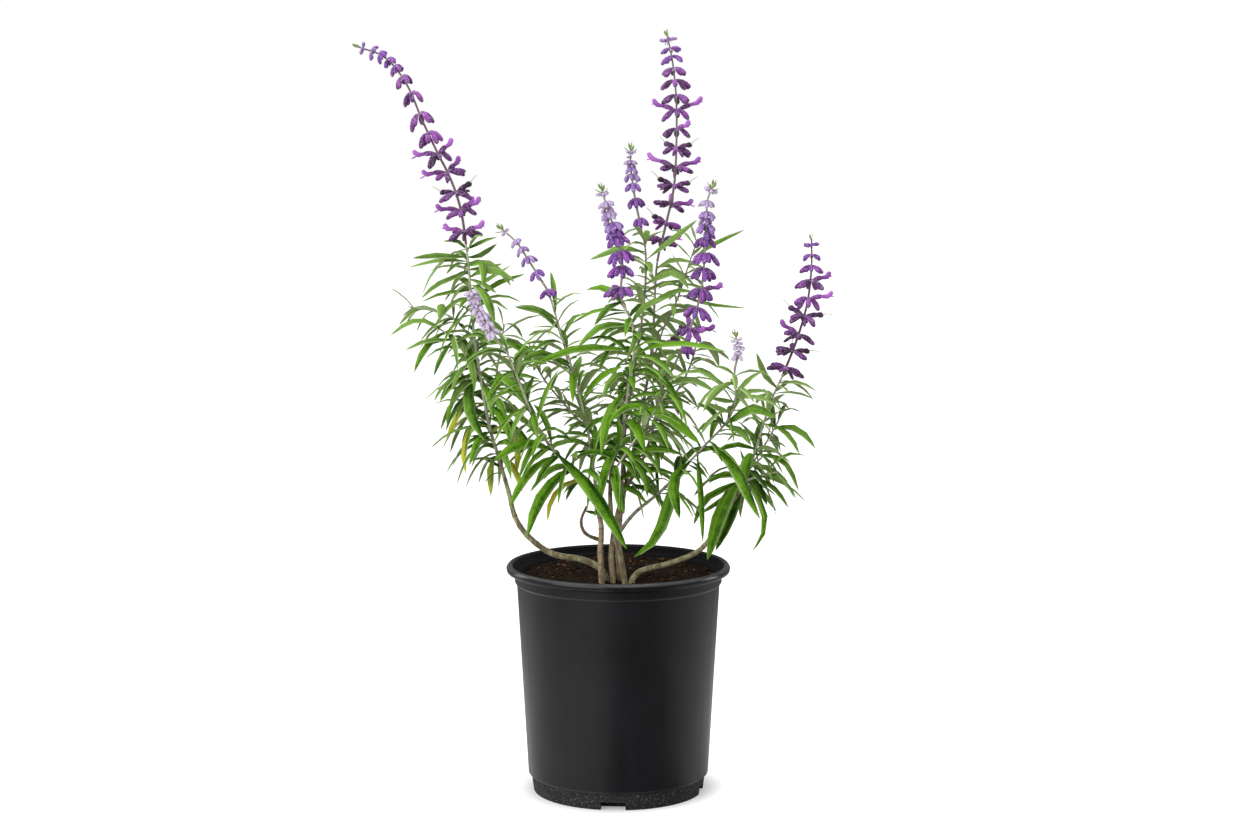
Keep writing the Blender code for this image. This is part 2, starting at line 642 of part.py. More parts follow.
def soil_profile(shares):
    """Radii and heights of the soil, with a ring on its surface at each share of its radius."""
    top_radius = wall_radius(COLLAR_BOTTOM) - SEAT_GAP
    return [(0.0, SOIL_MIDDLE)] + [(top_radius * share, SOIL_MIDDLE) for share in shares] + [
        (top_radius, SOIL_MIDDLE - SOIL_EDGE),
        (wall_radius(FOOT_HEIGHT) - SMALL_STEP - SEAT_GAP, FOOT_HEIGHT + FLOOR_RISE),
        (FOOT_RADIUS - POT_WALL - SOIL_FOOT, POT_FLOOR + SEAT_GAP),
        (0.0, POT_FLOOR + SEAT_GAP),
    ]


def shoot_line(owner, number):
    """The route of a shoot; one that bears a flower spike ends on the way that the spike sets out."""
    beyond = [spike.route[1] for spike in SPIKES.values() if (spike.stem, spike.shoot) == (owner, number)]
    return Line(STEMS[owner][number].route, after=beyond[0] if beyond else None)


def spike_line(spike):
    """The route of a flower spike, seated just above the end of the shoot that bears it."""
    below = shoot_line(spike.stem, spike.shoot)
    seat = below.points[-1] + below.heading(below.length) * SEAT_GAP
    return Line([seat] + spike.route[1:], before=STEMS[spike.stem][spike.shoot].route[-2])


def whorl_turn(spike, number):
    """Each whorl is turned half a step from the one below it."""
    return math.pi / spike.sides * (number % 2)


def axis_frame(axis, distance):
    """Place, heading and the two directions square to it, the first as near +Y as they go."""
    heading = axis.heading(distance)
    first = across(heading, Vector((0, 1, 0)))
    return axis.at(distance), heading, first, heading.cross(first)


def calyx(spike, axis, number, side, turn=0.0, steep=1.0, paired=PAIRED):
    """A calyx of one whorl. It stands out from the axis near the tip, and hangs where it is ripe.

    The calyces of a whorl lean a little towards its left and right sides, where they grow in two groups.
    """
    below_tip = spike.whorls[number]
    root, heading, first, second = axis_frame(axis, axis.length - below_tip)
    ripe = min(1.0, below_tip / spike.first_full)
    hanging = min(1.0, below_tip / HANGING_FROM)
    loose = min(1.0, max(0.0, (below_tip - spike.loose) / LOOSENING))
    size = spike.calyx * (spike.young + (1 - spike.young) * ripe)
    rise = YOUNG_RISE * (1 - hanging)
    waver = math.sin(WAVER[0] * side + WAVER[1] * number + WAVER[2] * turn)
    angle = 2 * math.pi * (side + 0.5) / spike.sides + whorl_turn(spike, number) + turn
    angle += paired * math.sin(2 * angle) + UNEVEN / 2 * waver
    out = first * math.cos(angle) + second * math.sin(angle)
    leave = (out + heading * rise).normalized()
    held = spike.hang * hanging
    droop = held * (1 - loose / 2 + UNEVEN * math.sin(DROOP_WAVER * side + number)) * steep
    hang = (out * (1 - held) + heading * (rise - held * (1 - loose)) - UP * droop).normalized()
    reach = CALYX_LENGTH * size * (1 + UNEVEN / 2 * waver)
    radius = CALYX_RADIUS * (CALYX_SLIMMEST + (1 - CALYX_SLIMMEST) * size)
    knee = root + leave * reach * CALYX_KNEE
    line = Line([root, knee, knee + hang * reach * (1 - CALYX_KNEE)], 3)
    return Flower(number, side, line, heading.cross(out), radius, "calyx")


def spike_flowers(spike):
    """The calyces and open blooms of one spike, whorl by whorl."""
    axis = spike_line(spike)
    flowers = [calyx(spike, axis, number, side)
               for number in range(len(spike.whorls)) for side in range(spike.sides)]
    for whorl, compass, share in spike.blooms:
        out = Vector((math.cos(math.radians(compass)), math.sin(math.radians(compass)), 0))
        around = [flower for flower in flowers if flower.whorl == whorl and flower.kind == "calyx"]
        bloom = max(around, key=lambda flower: out.dot(flower.line.points[-1] - flower.line.points[0]))
        root, knee = bloom.line.points[0], bloom.line.at(bloom.line.length * CALYX_KNEE)
        reach = COROLLA_REACH * share * spike.calyx
        out = (knee - root + UP * COROLLA_LIFT).normalized()
        bend = root + out * reach * COROLLA_BEND - UP * COROLLA_DIP
        bloom.line = Line([root, root + out * reach / 2, bend, root + out * reach + UP * COROLLA_DIP], 3)
        bloom.kind = "bloom"
    return flowers


def spike_skin(spike, flowers):
    """The spike's axis as a tube, with each flower raised from one face of the band at its whorl."""
    axis = spike_line(spike)
    low = min(STEMS[spike.stem][spike.shoot].thick[1], SPIKE_THICK[0]) / 2
    high = SPIKE_THICK[1] / 2
    points, faces = [], []

    def ring(distance, turn, radius):
        place, _, first, second = axis_frame(axis, distance)
        for k in range(spike.sides):
            angle = 2 * math.pi * k / spike.sides + turn
            points.append(place + (first * math.cos(angle) + second * math.sin(angle)) * radius)
        return list(range(len(points) - spike.sides, len(points)))

    def band(lower, upper):
        for k, after in enumerate([*range(1, len(lower)), 0]):
            faces.append((lower[k], lower[after], upper[after]))
            faces.append((lower[k], upper[after], upper[k]))

    previous = ring(0.0, whorl_turn(spike, len(spike.whorls) - 1), low)
    faces += [(previous[0], previous[side + 1], previous[side]) for side in range(1, spike.sides - 1)]
    for number in reversed(range(len(spike.whorls))):
        middle = axis.length - spike.whorls[number]
        turn = whorl_turn(spike, number)
        radius = low + (high - low) * middle / axis.length
        lower = ring(middle - WHORL_BAND / 2, turn, radius)
        upper = ring(middle + WHORL_BAND / 2, turn, radius)
        band(previous, lower)
        for flower in flowers:
            if flower.whorl != number:
                continue
            side, after = flower.side, (flower.side + 1) % spike.sides
            corners = [lower[side], lower[after], upper[after], upper[side]]
            for section in flower_rings(flower):
                points += section
                fresh = list(range(len(points) - len(section), len(points)))
                band(corners, fresh)
                corners = fresh
            faces.append((corners[0], corners[1], corners[2]))
            faces.append((corners[0], corners[2], corners[3]))
        previous = upper
    top = ring(axis.length, whorl_turn(spike, 0), high * TIP_SWELL)
    band(previous, top)
    points.append(axis.at(axis.length) + axis.heading(axis.length) * TIP_BUD)
    for side in range(spike.sides):
        faces.append((top[side], top[(side + 1) % spike.sides], len(points) - 1))
    return points, faces


def named_blades(owner, lines, room):
    """The leaves that stand out, each bent clear by the least change that clears it."""
    blades = []
    draw = random.Random(f"{owner} {SEED}")
    for shoot, points, width in PLAIN_TO_SEE[owner]:
        stem = lines[shoot]
        root = stem.at(stem.nearest(Vector(points[0])))
        for attempt in range(TRIES):
            shift = Vector(draw.uniform(-1, 1) for _ in range(3)) * attempt * NUDGE
            rest = [Vector(point) + shift * (k + 1) / len(points) for k, point in enumerate(points[1:])]
            reach = rest[-1] - root
            face = PLAIN_FACE + Vector((reach.x, reach.y, 0)).normalized() * PLAIN_LEAN
            blade = Blade(Line([root] + rest, 5), width, face)
            if folded(blade_skin(blade)) or room.meets(blade_skin(blade, LEAF_CLEARANCE), owner, own=False):
                continue
            room.add(owner, blade_skin(blade))
            blades.append(blade)
            break
    return blades


def rule_blade(stem, distance, compass, length, droop, lift, width, tilt):
    """A leaf that leaves its stem at a compass angle about it, then bends under its weight."""
    root = stem.at(distance)
    heading = stem.heading(distance)
    east = across(heading, Vector((0, 1, 0)) if abs(heading.x) > MOSTLY_ALONG_X else Vector((1, 0, 0)))
    north = heading.cross(east)
    out = east * math.cos(compass) + north * math.sin(compass)
    way = (out * math.cos(lift) + heading * math.sin(lift)).normalized()
    points = [root]
    for _ in range(LEAF_STEPS):
        points.append(points[-1] + way * length / LEAF_STEPS)
        way = (way - UP * droop / LEAF_STEPS).normalized()
    outward = Vector((root.x, root.y - PLANT_MIDDLE_Y, 0)).normalized()
    face = UP + out * LEAN_OUT + outward * ROLL_OUT + tilt
    return Blade(Line(points, 2), width, face)


def rule_blades(owner, lines, room):
    """Opposite pairs up each shoot, each pair square to the last, with small leaves in their axils."""
    blades = []
    draw = random.Random(f"{SEED} {owner}")
    for shoot, stem in zip(STEMS[owner], lines):
        distance = stem.length * shoot.bare
        pair = 0
        while distance < stem.length - 2:
            share = (distance - stem.length * shoot.bare) / (stem.length * (1 - shoot.bare))
            length = shoot.leaf[0] + (shoot.leaf[1] - shoot.leaf[0]) * share
            compass = math.radians(shoot.turn + 90 * pair + draw.uniform(*COMPASS_SPREAD))
            for turn in (0.0, math.pi):
                size = length * draw.uniform(*LENGTH_SPREAD)
                blades += grown(owner, stem, distance, compass + turn, size, draw, room)
            if pair % 2 == 0:
                blades += grown(owner, stem, distance + AXIL_RISE, compass + draw.choice(AXIL_TURNS),
                                draw.uniform(*AXIL_LENGTH), draw, room)
            distance += NODE_SPACING * (1 - TIP_CROWDING * share) * draw.uniform(*SPACING_SPREAD)
            pair += 1
    return blades


def grown(owner, stem, distance, compass, length, draw, room, lifts=LIFT, droops=DROOP):
    """One rule-made leaf in a list, or none where no try finds room for it."""
    heavy = min(1.0, length / HEAVY_LEAF)
    for attempt in range(TRIES):
        spread = TRY_TURN * attempt
        blade = rule_blade(
            stem, distance, compass + draw.uniform(-spread, spread),
            length * (1 - TRY_SHRINK * attempt),
            droop=heavy * draw.uniform(*droops) + TRY_DROOP * attempt * draw.uniform(-1, 1),
            lift=draw.uniform(*lifts) + spread / 2 * draw.uniform(-1, 1),
            width=max(LEAST_WIDTH, length * LEAF_ASPECT),
            tilt=Vector((draw.uniform(*TILT_X), draw.uniform(*TILT_Y), 0)))
        if folded(blade_skin(blade)) or room.meets(blade_skin(blade, LEAF_CLEARANCE), owner, own=False):
            continue
        outer = outer_skin(blade)
        if attempt < TRIES - LAST_TRIES and room.meets(outer, owner, own=True):
            continue
        room.add(owner, outer if attempt < TRIES - LAST_TRIES else blade_skin(blade))
        room.add(owner + " root", blade_skin(blade))
        return [blade]
    return []


def plan_plant(room):
    """Every stem's lines and leaves, and every spike's flowers, each clear of the other pieces."""
    lines = {owner: [shoot_line(owner, k) for k in range(len(shoots))] for owner, shoots in STEMS.items()}
    for owner, shoots in STEMS.items():
        for shoot, line in zip(shoots, lines[owner]):
            room.add(owner, tube_skin(line, shoot.thick[0] / 2, shoot.thick[1] / 2))
    flowers = {name: spike_flowers(spike) for name, spike in SPIKES.items()}
    for name, spike in SPIKES.items():
        room.add(name, tube_skin(spike_line(spike), SPIKE_THICK[0], SPIKE_THICK[1]))
        for flower in flowers[name]:
            room.add(name, flower_skin(flower))
    pot = Line([(0, 0, 0), (0, 0, POT_HEIGHT + 1)])
    room.add("nursery_pot", tube_skin(pot, RIM_RADIUS + 1, RIM_RADIUS + 1, sides=POT_SIDES))
    blades = {owner: named_blades(owner, lines[owner], room) for owner in STEMS}
    for owner in STEMS:
        blades[owner] += rule_blades(owner, lines[owner], room)
    return lines, blades, flowers


def clear_scene():
    for thing in list(bpy.data.objects):
        bpy.data.objects.remove(thing)


def new_collection(name):
    collection = bpy.data.collections.new(name)
    bpy.context.scene.collection.children.link(collection)
    return collection


def new_material(name, colour, roughness):
    material = bpy.data.materials.new(name)
    material.use_nodes = True
    shader = material.node_tree.nodes["Principled BSDF"]
    shader.inputs["Base Color"].default_value = (*colour, 1)
    shader.inputs["Roughness"].default_value = roughness
    shader.inputs["Metallic"].default_value = 0.0
    material.diffuse_color = (*colour, 1)
    return material


def mesh_object(name, skin, collection):
    points, faces = skin
    mesh = bpy.data.meshes.new(name)
    mesh.from_pydata([Vector(point) * MM for point in points], [], faces)
    thing = bpy.data.objects.new(name, mesh)
    collection.objects.link(thing)
    return thing


def applied(thing):
    """Bakes an object's modifiers into its mesh."""
    graph = bpy.context.evaluated_depsgraph_get()
    mesh = bpy.data.meshes.new_from_object(thing.evaluated_get(graph))
    thing.modifiers.clear()
    thing.data = mesh
    return thing


def turned(name, profile, collection):
    """A solid turned about Z from a profile of (radius, height) that runs down its outer side."""
    mesh = bpy.data.meshes.new(name)
    points = [(radius * MM, 0, height * MM) for radius, height in profile]
    mesh.from_pydata(points, [(k, k + 1) for k in range(len(points) - 1)], [])
    thing = bpy.data.objects.new(name, mesh)
    collection.objects.link(thing)
    screw = thing.modifiers.new("turn", "SCREW")
    screw.steps = POT_SIDES
    screw.render_steps = POT_SIDES
    screw.use_merge_vertices = True
    screw.merge_threshold = SCREW_WELD
    return applied(thing)


def stem_tube(name, line, thick, collection, buried=0.0):
    """A tapered stem as a beveled curve, made a closed mesh; one that isn't buried is four-sided."""
    count = max(2, round((line.length - buried) / STEM_STEP))
    marks = [buried + (line.length - buried) * k / count for k in range(count + 1)]
    if buried:
        marks.insert(0, 0.0)
    curve = bpy.data.curves.new(name, "CURVE")
    curve.dimensions = "3D"
    curve.bevel_depth = MM
    curve.bevel_resolution = 1 if buried else 0
    curve.use_fill_caps = True
    spline = curve.splines.new("POLY")
    spline.points.add(len(marks) - 1)
    for mark, point in zip(marks, spline.points):
        point.co = (*(line.at(mark) * MM), 1)
        point.radius = (thick[0] + (thick[1] - thick[0]) * mark / line.length) / 2
    guide = bpy.data.objects.new(name, curve)
    collection.objects.link(guide)
    graph = bpy.context.evaluated_depsgraph_get()
    mesh = bpy.data.meshes.new_from_object(guide.evaluated_get(graph))
    bpy.data.objects.remove(guide)
    build = bmesh.new()
    build.from_mesh(mesh)
    bmesh.ops.remove_doubles(build, verts=build.verts, dist=WELD)
    build.to_mesh(mesh)
    build.free()
    thing = bpy.data.objects.new(name, mesh)
    collection.objects.link(thing)
    return thing


def drop_scraps(thing):
    """Keeps the largest body of a mesh and drops any loose scrap or sealed hollow."""
    build = bmesh.new()
    build.from_mesh(thing.data)
    unseen = set(build.verts)
    bodies = []
    while unseen:
        edge = [unseen.pop()]
        body = set(edge)
        while edge:
            for link in edge.pop().link_edges:
                for vert in link.verts:
                    if vert in unseen:
                        unseen.remove(vert)
                        body.add(vert)
                        edge.append(vert)
        bodies.append(body)
    bodies.sort(key=len)
    for body in bodies[:-1]:
        bmesh.ops.delete(build, geom=list(body), context="VERTS")
    build.to_mesh(thing.data)
    build.free()


def fused(base, repeats):
    """Joins a collection of closed repeats to their base by one union, and removes them."""
    union = base.modifiers.new("union", "BOOLEAN")
    union.operation = "UNION"
    union.operand_type = "COLLECTION"
    union.collection = repeats
    union.solver = "MANIFOLD"
    applied(base)
    for thing in list(repeats.objects):
        bpy.data.objects.remove(thing)
    bpy.data.collections.remove(repeats)
    drop_scraps(base)
    return base


def finish(thing, material, sharp_angle):
    thing.data.materials.clear()
    thing.data.materials.append(material)
    thing.data.shade_smooth()
    thing.data.set_sharp_from_angle(angle=math.radians(sharp_angle))


def make_pot(parts, cutters):
    """The nursery pot: rolled rim, collar, tapering wall, foot band and drain slots at its corner."""
    pot = turned("nursery_pot", pot_profile(), parts)
    for k, compass in enumerate(DRAIN_COMPASS):
        angle = math.radians(compass)
        bpy.ops.mesh.primitive_cube_add(size=1)
        cutter = bpy.context.object
        cutter.name = f"drain_cutter_{k}"
        cutter.scale = Vector((2 * DRAIN_REACH, DRAIN_WIDTH, 2 * DRAIN_HEIGHT)) * MM
        cutter.rotation_euler = (0, 0, angle)
        cutter.location = Vector((math.cos(angle), math.sin(angle), 0)) * (FOOT_RADIUS + 1) * MM
        for home in list(cutter.users_collection):
            home.objects.unlink(cutter)
        cutters.objects.link(cutter)
        cutter.hide_render = True
        cutter.display_type = "WIRE"
        cut = pot.modifiers.new(f"drain_{k}", "BOOLEAN")
        cut.operation = "DIFFERENCE"
        cut.object = cutter
        cut.solver = "EXACT"
    finish(pot, new_material("black_pot_plastic", (0.02, 0.021, 0.023), 0.45), 28)
    return pot


def make_soil(parts, cutters):
    """The potting mix: it fills the pot below the ledge, with a plain hole for each stem."""
    soil = turned("potting_soil", soil_profile(SOIL_RINGS), parts)
    for vert in soil.data.vertices:
        if vert.co.z > (SOIL_MIDDLE - SOIL_EDGE - SEAT_GAP) * MM:
            x, y = vert.co.x / MM, vert.co.y / MM
            vert.co.z += (soil_height(x, y) - SOIL_MIDDLE) * MM
    for owner, shoots in STEMS.items():
        x, y, _ = shoots[0].route[0]
        radius = shoots[0].thick[0] / 2 + SEAT_GAP
        bpy.ops.mesh.primitive_cylinder_add(
            vertices=HOLE_SIDES, radius=radius * MM / math.cos(math.pi / HOLE_SIDES),
            depth=2 * HOLE_DEPTH * MM)
        cutter = bpy.context.object
        cutter.name = f"hole_of_{owner}"
        cutter.location = Vector((x, y, soil_height(x, y))) * MM
        for home in list(cutter.users_collection):
            home.objects.unlink(cutter)
        cutters.objects.link(cutter)
        cutter.hide_render = True
        cutter.display_type = "WIRE"
        cut = soil.modifiers.new(f"hole_{owner}", "BOOLEAN")
        cut.operation = "DIFFERENCE"
        cut.object = cutter
        cut.solver = "EXACT"
    finish(soil, new_material("potting_mix", (0.045, 0.028, 0.018), 0.95), 60)
    return soil


def make_stem(owner, lines, blades, parts, material):
    """One leafy stem: its tubes and blades fused into one body."""
    repeats = new_collection(f"{owner}_repeats")
    tubes = []
    for number, (shoot, line) in enumerate(zip(STEMS[owner], lines)):
        buried = 0.0 if number else STEM_BURIED
        if buried:
            line = Line([line.points[0] - UP * buried] + line.points, 1)
        tubes.append(stem_tube(f"{owner}_tube_{number}", line, shoot.thick, parts, buried))
    base = tubes[0]
    for tube in tubes[1:]:
        parts.objects.unlink(tube)
        repeats.objects.link(tube)
    for number, blade in enumerate(blades):
        mesh_object(f"{owner}_blade_{number}", blade_skin(blade), repeats)
    fused(base, repeats)
    base.name = owner
    finish(base, material, 40)
    return base


def make_spike(name, flowers, parts, material):
    thing = mesh_object(name, spike_skin(SPIKES[name], flowers), parts)
    finish(thing, material, 50)
    return thing


def main():
    clear_scene()
    parts = new_collection(PLANT)
    cutters = new_collection("cutters")
    cutters.hide_render = True
    make_pot(parts, cutters)
    make_soil(parts, cutters)
    lines, blades, flowers = plan_plant(Room())
    leaf_green = new_material("leaf_green", (0.09, 0.27, 0.045), 0.6)
    calyx_violet = new_material("calyx_violet", (0.18, 0.045, 0.26), 0.85)
    for owner in STEMS:
        make_stem(owner, lines[owner], blades[owner], parts, leaf_green)
    for name in SPIKES:
        make_spike(name, flowers[name], parts, calyx_violet)


main()
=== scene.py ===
"""A potted Mexican bush sage, Salvia leucantha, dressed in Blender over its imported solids.

The plan of the plant is the one that the solids follow: every leaf, calyx and open flower has the
same place, width and length here. This script draws each with a finer outline and gives it its
finish. Sizes in the tables are millimetres; Blender's own values are metres.

It is laid out as an add-on and run as a script.
"""

import functools
import math
import random
from dataclasses import dataclass, field, replace

import bmesh
import bpy
from bpy.props import FloatProperty, FloatVectorProperty, IntProperty, PointerProperty
from bpy.types import Operator, Panel, PropertyGroup
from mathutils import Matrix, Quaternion, Vector, noise
from mathutils.bvhtree import BVHTree


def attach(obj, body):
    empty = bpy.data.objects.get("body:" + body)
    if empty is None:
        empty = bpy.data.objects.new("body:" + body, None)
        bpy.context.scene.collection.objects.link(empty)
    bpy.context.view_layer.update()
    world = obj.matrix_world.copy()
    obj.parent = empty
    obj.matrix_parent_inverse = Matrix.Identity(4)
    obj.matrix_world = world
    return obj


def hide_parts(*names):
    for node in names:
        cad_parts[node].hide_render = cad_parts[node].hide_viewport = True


bl_info = {
    "name": "Potted Bush Sage",
    "version": (1, 0, 0),
    "blender": (4, 5, 0),
    "location": "3D View > Sidebar > Sage",
    "description": "Dresses a Mexican bush sage and its nursery pot over their packed solids",
    "category": "Object",
}

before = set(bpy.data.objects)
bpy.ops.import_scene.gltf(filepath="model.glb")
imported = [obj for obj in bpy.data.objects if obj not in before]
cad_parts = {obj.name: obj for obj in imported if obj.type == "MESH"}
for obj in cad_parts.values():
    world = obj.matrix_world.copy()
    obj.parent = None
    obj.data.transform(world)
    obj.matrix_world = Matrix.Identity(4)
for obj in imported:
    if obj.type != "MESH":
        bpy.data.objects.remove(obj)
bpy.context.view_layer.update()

MM = 0.001
EAST, NORTH, UP = Vector((1, 0, 0)), Vector((0, 1, 0)), Vector((0, 0, 1))
SEED = 11
SEAT_GAP = 0.3

# Pot: outer radii and heights, from the rolled rim down to the foot band
POT_SIDES = 32
POT_HEIGHT = 169.5
RIM_RADIUS = 82.5
RIM_DEPTH = 5.2
MOUTH_RADIUS = 77.2
COLLAR_RADIUS = 76.2
COLLAR_BOTTOM = 156.0
BODY_TOP_RADIUS = 74.7
BODY_BOTTOM_RADIUS = 66.6
FOOT_HEIGHT = 13.0
FOOT_TOP_RADIUS = 64.4
FOOT_RADIUS = 62.8
POT_WALL = 1.5
POT_FLOOR = 2.5
LEDGE_HEIGHT = 163.6
MOUTH_DROP = 1.2
RIM_FLAT = (2.0, 1.6)
RIM_BELLY = 2.2
RIM_TUCK = 0.6
COLLAR_DROP = 1.8
SMALL_STEP = 0.6
FLOOR_RISE = 2.0
SCREW_WELD = 0.00005
DRAIN_COMPASS = (-93.5, -11.0, 86.5, 176.5)
DRAIN_WIDTH = 18.0
DRAIN_HEIGHT = 6.0
DRAIN_REACH = 12.0

# Soil: its surface rises from the front of the pot to the back
SOIL_MIDDLE = 158.6
SOIL_SLOPE = 0.058
SOIL_LUMP = 0.9
SOIL_WAVES = (0.13, 0.11)
# Small lumps: layer of noise, height and waves to a millimetre
SOIL_LUMPS = ((0, 0.8, 0.22), (9, 0.5, 0.6))
SOIL_EDGE = 0.8
SOIL_FOOT = 16.0

# Leaves: a blade's widths and thickness, and how its edges stand above its keel
PETIOLE_WIDTH = 1.9
LONG = 54.0
TINY = 25.0
LEAF_ASPECT = 0.135
LEAST_WIDTH = 3.2
LEAF_THICKNESS = 1.3
EDGE_RISE = 0.3
LEAF_STEPS = 5

# How leaves stand on a shoot: pairs crowd towards its tip, and small leaves sit in the axils
NODE_SPACING = 16.7
SPACING_SPREAD = (0.88, 1.12)
TIP_CROWDING = 0.3
COMPASS_SPREAD = (-14, 14)
LENGTH_SPREAD = (0.85, 1.12)
AXIL_LENGTH = (15, 24)
AXIL_TURNS = (0.8, -0.9, 2.3)
AXIL_RISE = 1.5
BARE_TIP = 2.0

# How a leaf bends: it sets out at a lift, in radians, then droops in proportion to its length
LIFT = (0.4, 1.0)
DROOP = (1.2, 2.1)
HEAVY_LEAF = 50.0
MOSTLY_ALONG_X = 0.8
ROLL_OUT = 0.55
LEAN_OUT = 0.25
PLANT_MIDDLE_Y = -10.0
TILT_X = (-0.35, 0.35)
TILT_Y = (-0.45, 0.25)

# How a leaf is bent clear of the rest
LEAF_CLEARANCE = 0.4
OWN_PART = 0.3
OWN_START = 0.7
TRIES = 14
LAST_TRIES = 3
TRY_TURN = 0.09
TRY_SHRINK = 0.018
TRY_DROOP = 0.1
NUDGE = 0.9
PLAIN_FACE = Vector((0, -0.8, 1))
PLAIN_LEAN = 0.15

# Flowers
CALYX_LENGTH = 12.5
CALYX_RADIUS = 2.3
CALYX_SLIMMEST = 0.3
COROLLA_REACH = 19.0
COROLLA_LIFT = 1.2
COROLLA_BEND = 0.85
COROLLA_DIP = 1.1
CALYX_KNEE = 0.28
YOUNG_RISE = 0.5
HANGING_FROM = 14.0
LOOSENING = 25.0
UNEVEN = 0.16
WAVER = (3.7, 2.0, 5.0)
DROOP_WAVER = 5.1
PAIRED = 0.1
SPIKE_THICK = (2.0, 1.2)


@dataclass
class Shoot:
    """A stem or branch: its route, its thickness at both ends and the leaves that it bears.

    It is bare along a first share of its length. Leaf is how long its leaves are from there to its tip,
    and turn is where its first pair stands about it, in degrees.
    """

    route: list
    thick: tuple
    bare: float
    leaf: tuple
    turn: float


@dataclass
class Spike:
    """A flower spike: its axis, how far each whorl lies below the tip, and how its calyces are held.

    They are full at first_full below the tip, and the smallest, at the tip, are young of that size. They
    hang steeply or less so, and from loose downwards the whorls are untidy.
    """

    stem: str
    shoot: int
    route: list
    whorls: list
    calyx: float = 1.0
    young: float = 0.35
    hang: float = 0.38
    first_full: float = 45.0
    sides: int = 5
    loose: float = 300.0
    blooms: list = field(default_factory=list)


# Each leafy stem is a main shoot that stands in the soil, followed by its branches.
STEMS = {
    "leafy_stem_far_left": [
        Shoot([(-9, -7, 160), (-14, -8, 168), (-27, -8, 174), (-48, -7, 178), (-65, -7, 190),
               (-75, -7, 204), (-80, -7, 223), (-86, -8, 245), (-94, -8, 273), (-100, -8, 307),
               (-105, -8, 343), (-108, -8, 387), (-110, -8, 405)], (5.0, 2.1), 0.42, (52, 34), 20),
        Shoot([(-100, -8, 308), (-114, -14, 330), (-126, -17, 343)], (2.2, 1.5), 0.2, (44, 28), 60),
        Shoot([(-103, -8, 330), (-118, -4, 350), (-136, -4, 357), (-152, -8, 360)],
              (2.1, 1.4), 0.2, (36, 20), 10),
        Shoot([(-94, -8, 273), (-92, 6, 292), (-88, 16, 318), (-84, 22, 344)],
              (2.4, 1.6), 0.15, (48, 30), 35),
        Shoot([(-92, -8, 265), (-104, 4, 285), (-114, 14, 308)], (2.4, 1.6), 0.15, (44, 28), 80),
    ],
    "leafy_stem_front_left": [
        Shoot([(-12, -17, 158), (-13, -18, 181), (-13, -21, 205), (-24, -29, 236), (-46, -39, 259),
               (-59, -48, 280), (-68, -57, 305), (-78, -66, 332), (-85, -75, 343)],
              (4.6, 2.0), 0.36, (56, 32), 30),
        Shoot([(-13, -21, 207), (-16, -18, 226), (-21, -16, 264), (-27, -19, 293), (-35, -23, 322),
               (-42, -26, 345), (-50, -30, 372)], (3.2, 1.9), 0.22, (52, 30), 75),
        Shoot([(-13, -18, 190), (-24, -22, 196), (-27, -23, 205), (-23, -23, 216)],
              (2.2, 1.4), 0.9, (14, 12), 0),
    ],
    "leafy_stem_front": [
        Shoot([(5, -22, 159), (0, -25, 188), (-5, -27, 208), (-5, -29, 244), (2, -31, 266), (7, -33, 304),
               (11, -36, 328), (10, -38, 350), (2, -41, 370)], (4.4, 2.1), 0.34, (60, 34), 10),
        Shoot([(-5, -29, 240), (8, -44, 262), (22, -56, 284), (34, -64, 304)],
              (2.4, 1.6), 0.2, (44, 28), 45),
    ],
    "leafy_stem_right": [
        Shoot([(-4, -12, 160), (-5, -11, 182), (3, -9, 221), (20, -8, 253), (32, -9, 299), (42, -12, 321),
               (45, -14, 328)], (4.2, 2.2), 0.38, (54, 32), 55),
        Shoot([(-4, -11, 188), (11, -16, 209), (32, -22, 228), (62, -28, 261), (79, -34, 281),
               (84, -40, 298), (83, -45, 318)], (3.2, 1.9), 0.3, (50, 30), 15),
    ],
    "leafy_stem_far_right": [
        Shoot([(10, -13, 160), (16, -12, 166), (37, -8, 171), (58, -4, 179), (70, -2, 192), (83, 0, 214),
               (93, 3, 231), (101, 5, 254), (112, 8, 289), (121, 10, 309)], (4.4, 2.0), 0.6, (48, 32), 0),
        Shoot([(96, 4, 240), (106, 11, 253), (116, 14, 270), (123, 17, 283)],
              (2.2, 1.5), 0.3, (34, 26), 50),
        Shoot([(90, 2, 227), (96, 16, 236), (108, 26, 246)], (2.4, 1.6), 0.1, (42, 28), 20),
        Shoot([(92, 3, 230), (104, -6, 236), (116, -16, 240)], (2.3, 1.6), 0.1, (40, 28), 70),
    ],
    "leafy_stem_back": [
        Shoot([(1, -3, 161), (0, 4, 186), (3, 17, 213), (16, 28, 272), (25, 38, 324), (27, 45, 360),
               (29, 50, 388)], (4.6, 2.2), 0.36, (56, 34), 40),
        Shoot([(3, 17, 214), (3, 12, 240), (6, 10, 274), (14, 13, 326), (19, 16, 363), (20, 18, 398),
               (16, 20, 418)], (3.2, 1.9), 0.24, (52, 30), 85),
        Shoot([(4, 18, 218), (-14, 38, 250), (-32, 54, 288), (-42, 64, 330)],
              (3.0, 1.8), 0.25, (56, 34), 25),
        Shoot([(10, 23, 246), (30, 44, 272), (52, 60, 304), (62, 68, 338)], (2.8, 1.7), 0.2, (52, 32), 70),
        Shoot([(20, 32, 296), (34, 18, 344), (43, 12, 363), (51, 10, 388), (58, 10, 408)],
              (2.2, 1.4), 0.5, (24, 16), 10),
        Shoot([(-18, 42, 258), (-38, 40, 280), (-58, 38, 306), (-66, 36, 328)],
              (2.4, 1.6), 0.25, (48, 32), 50),
    ],
}

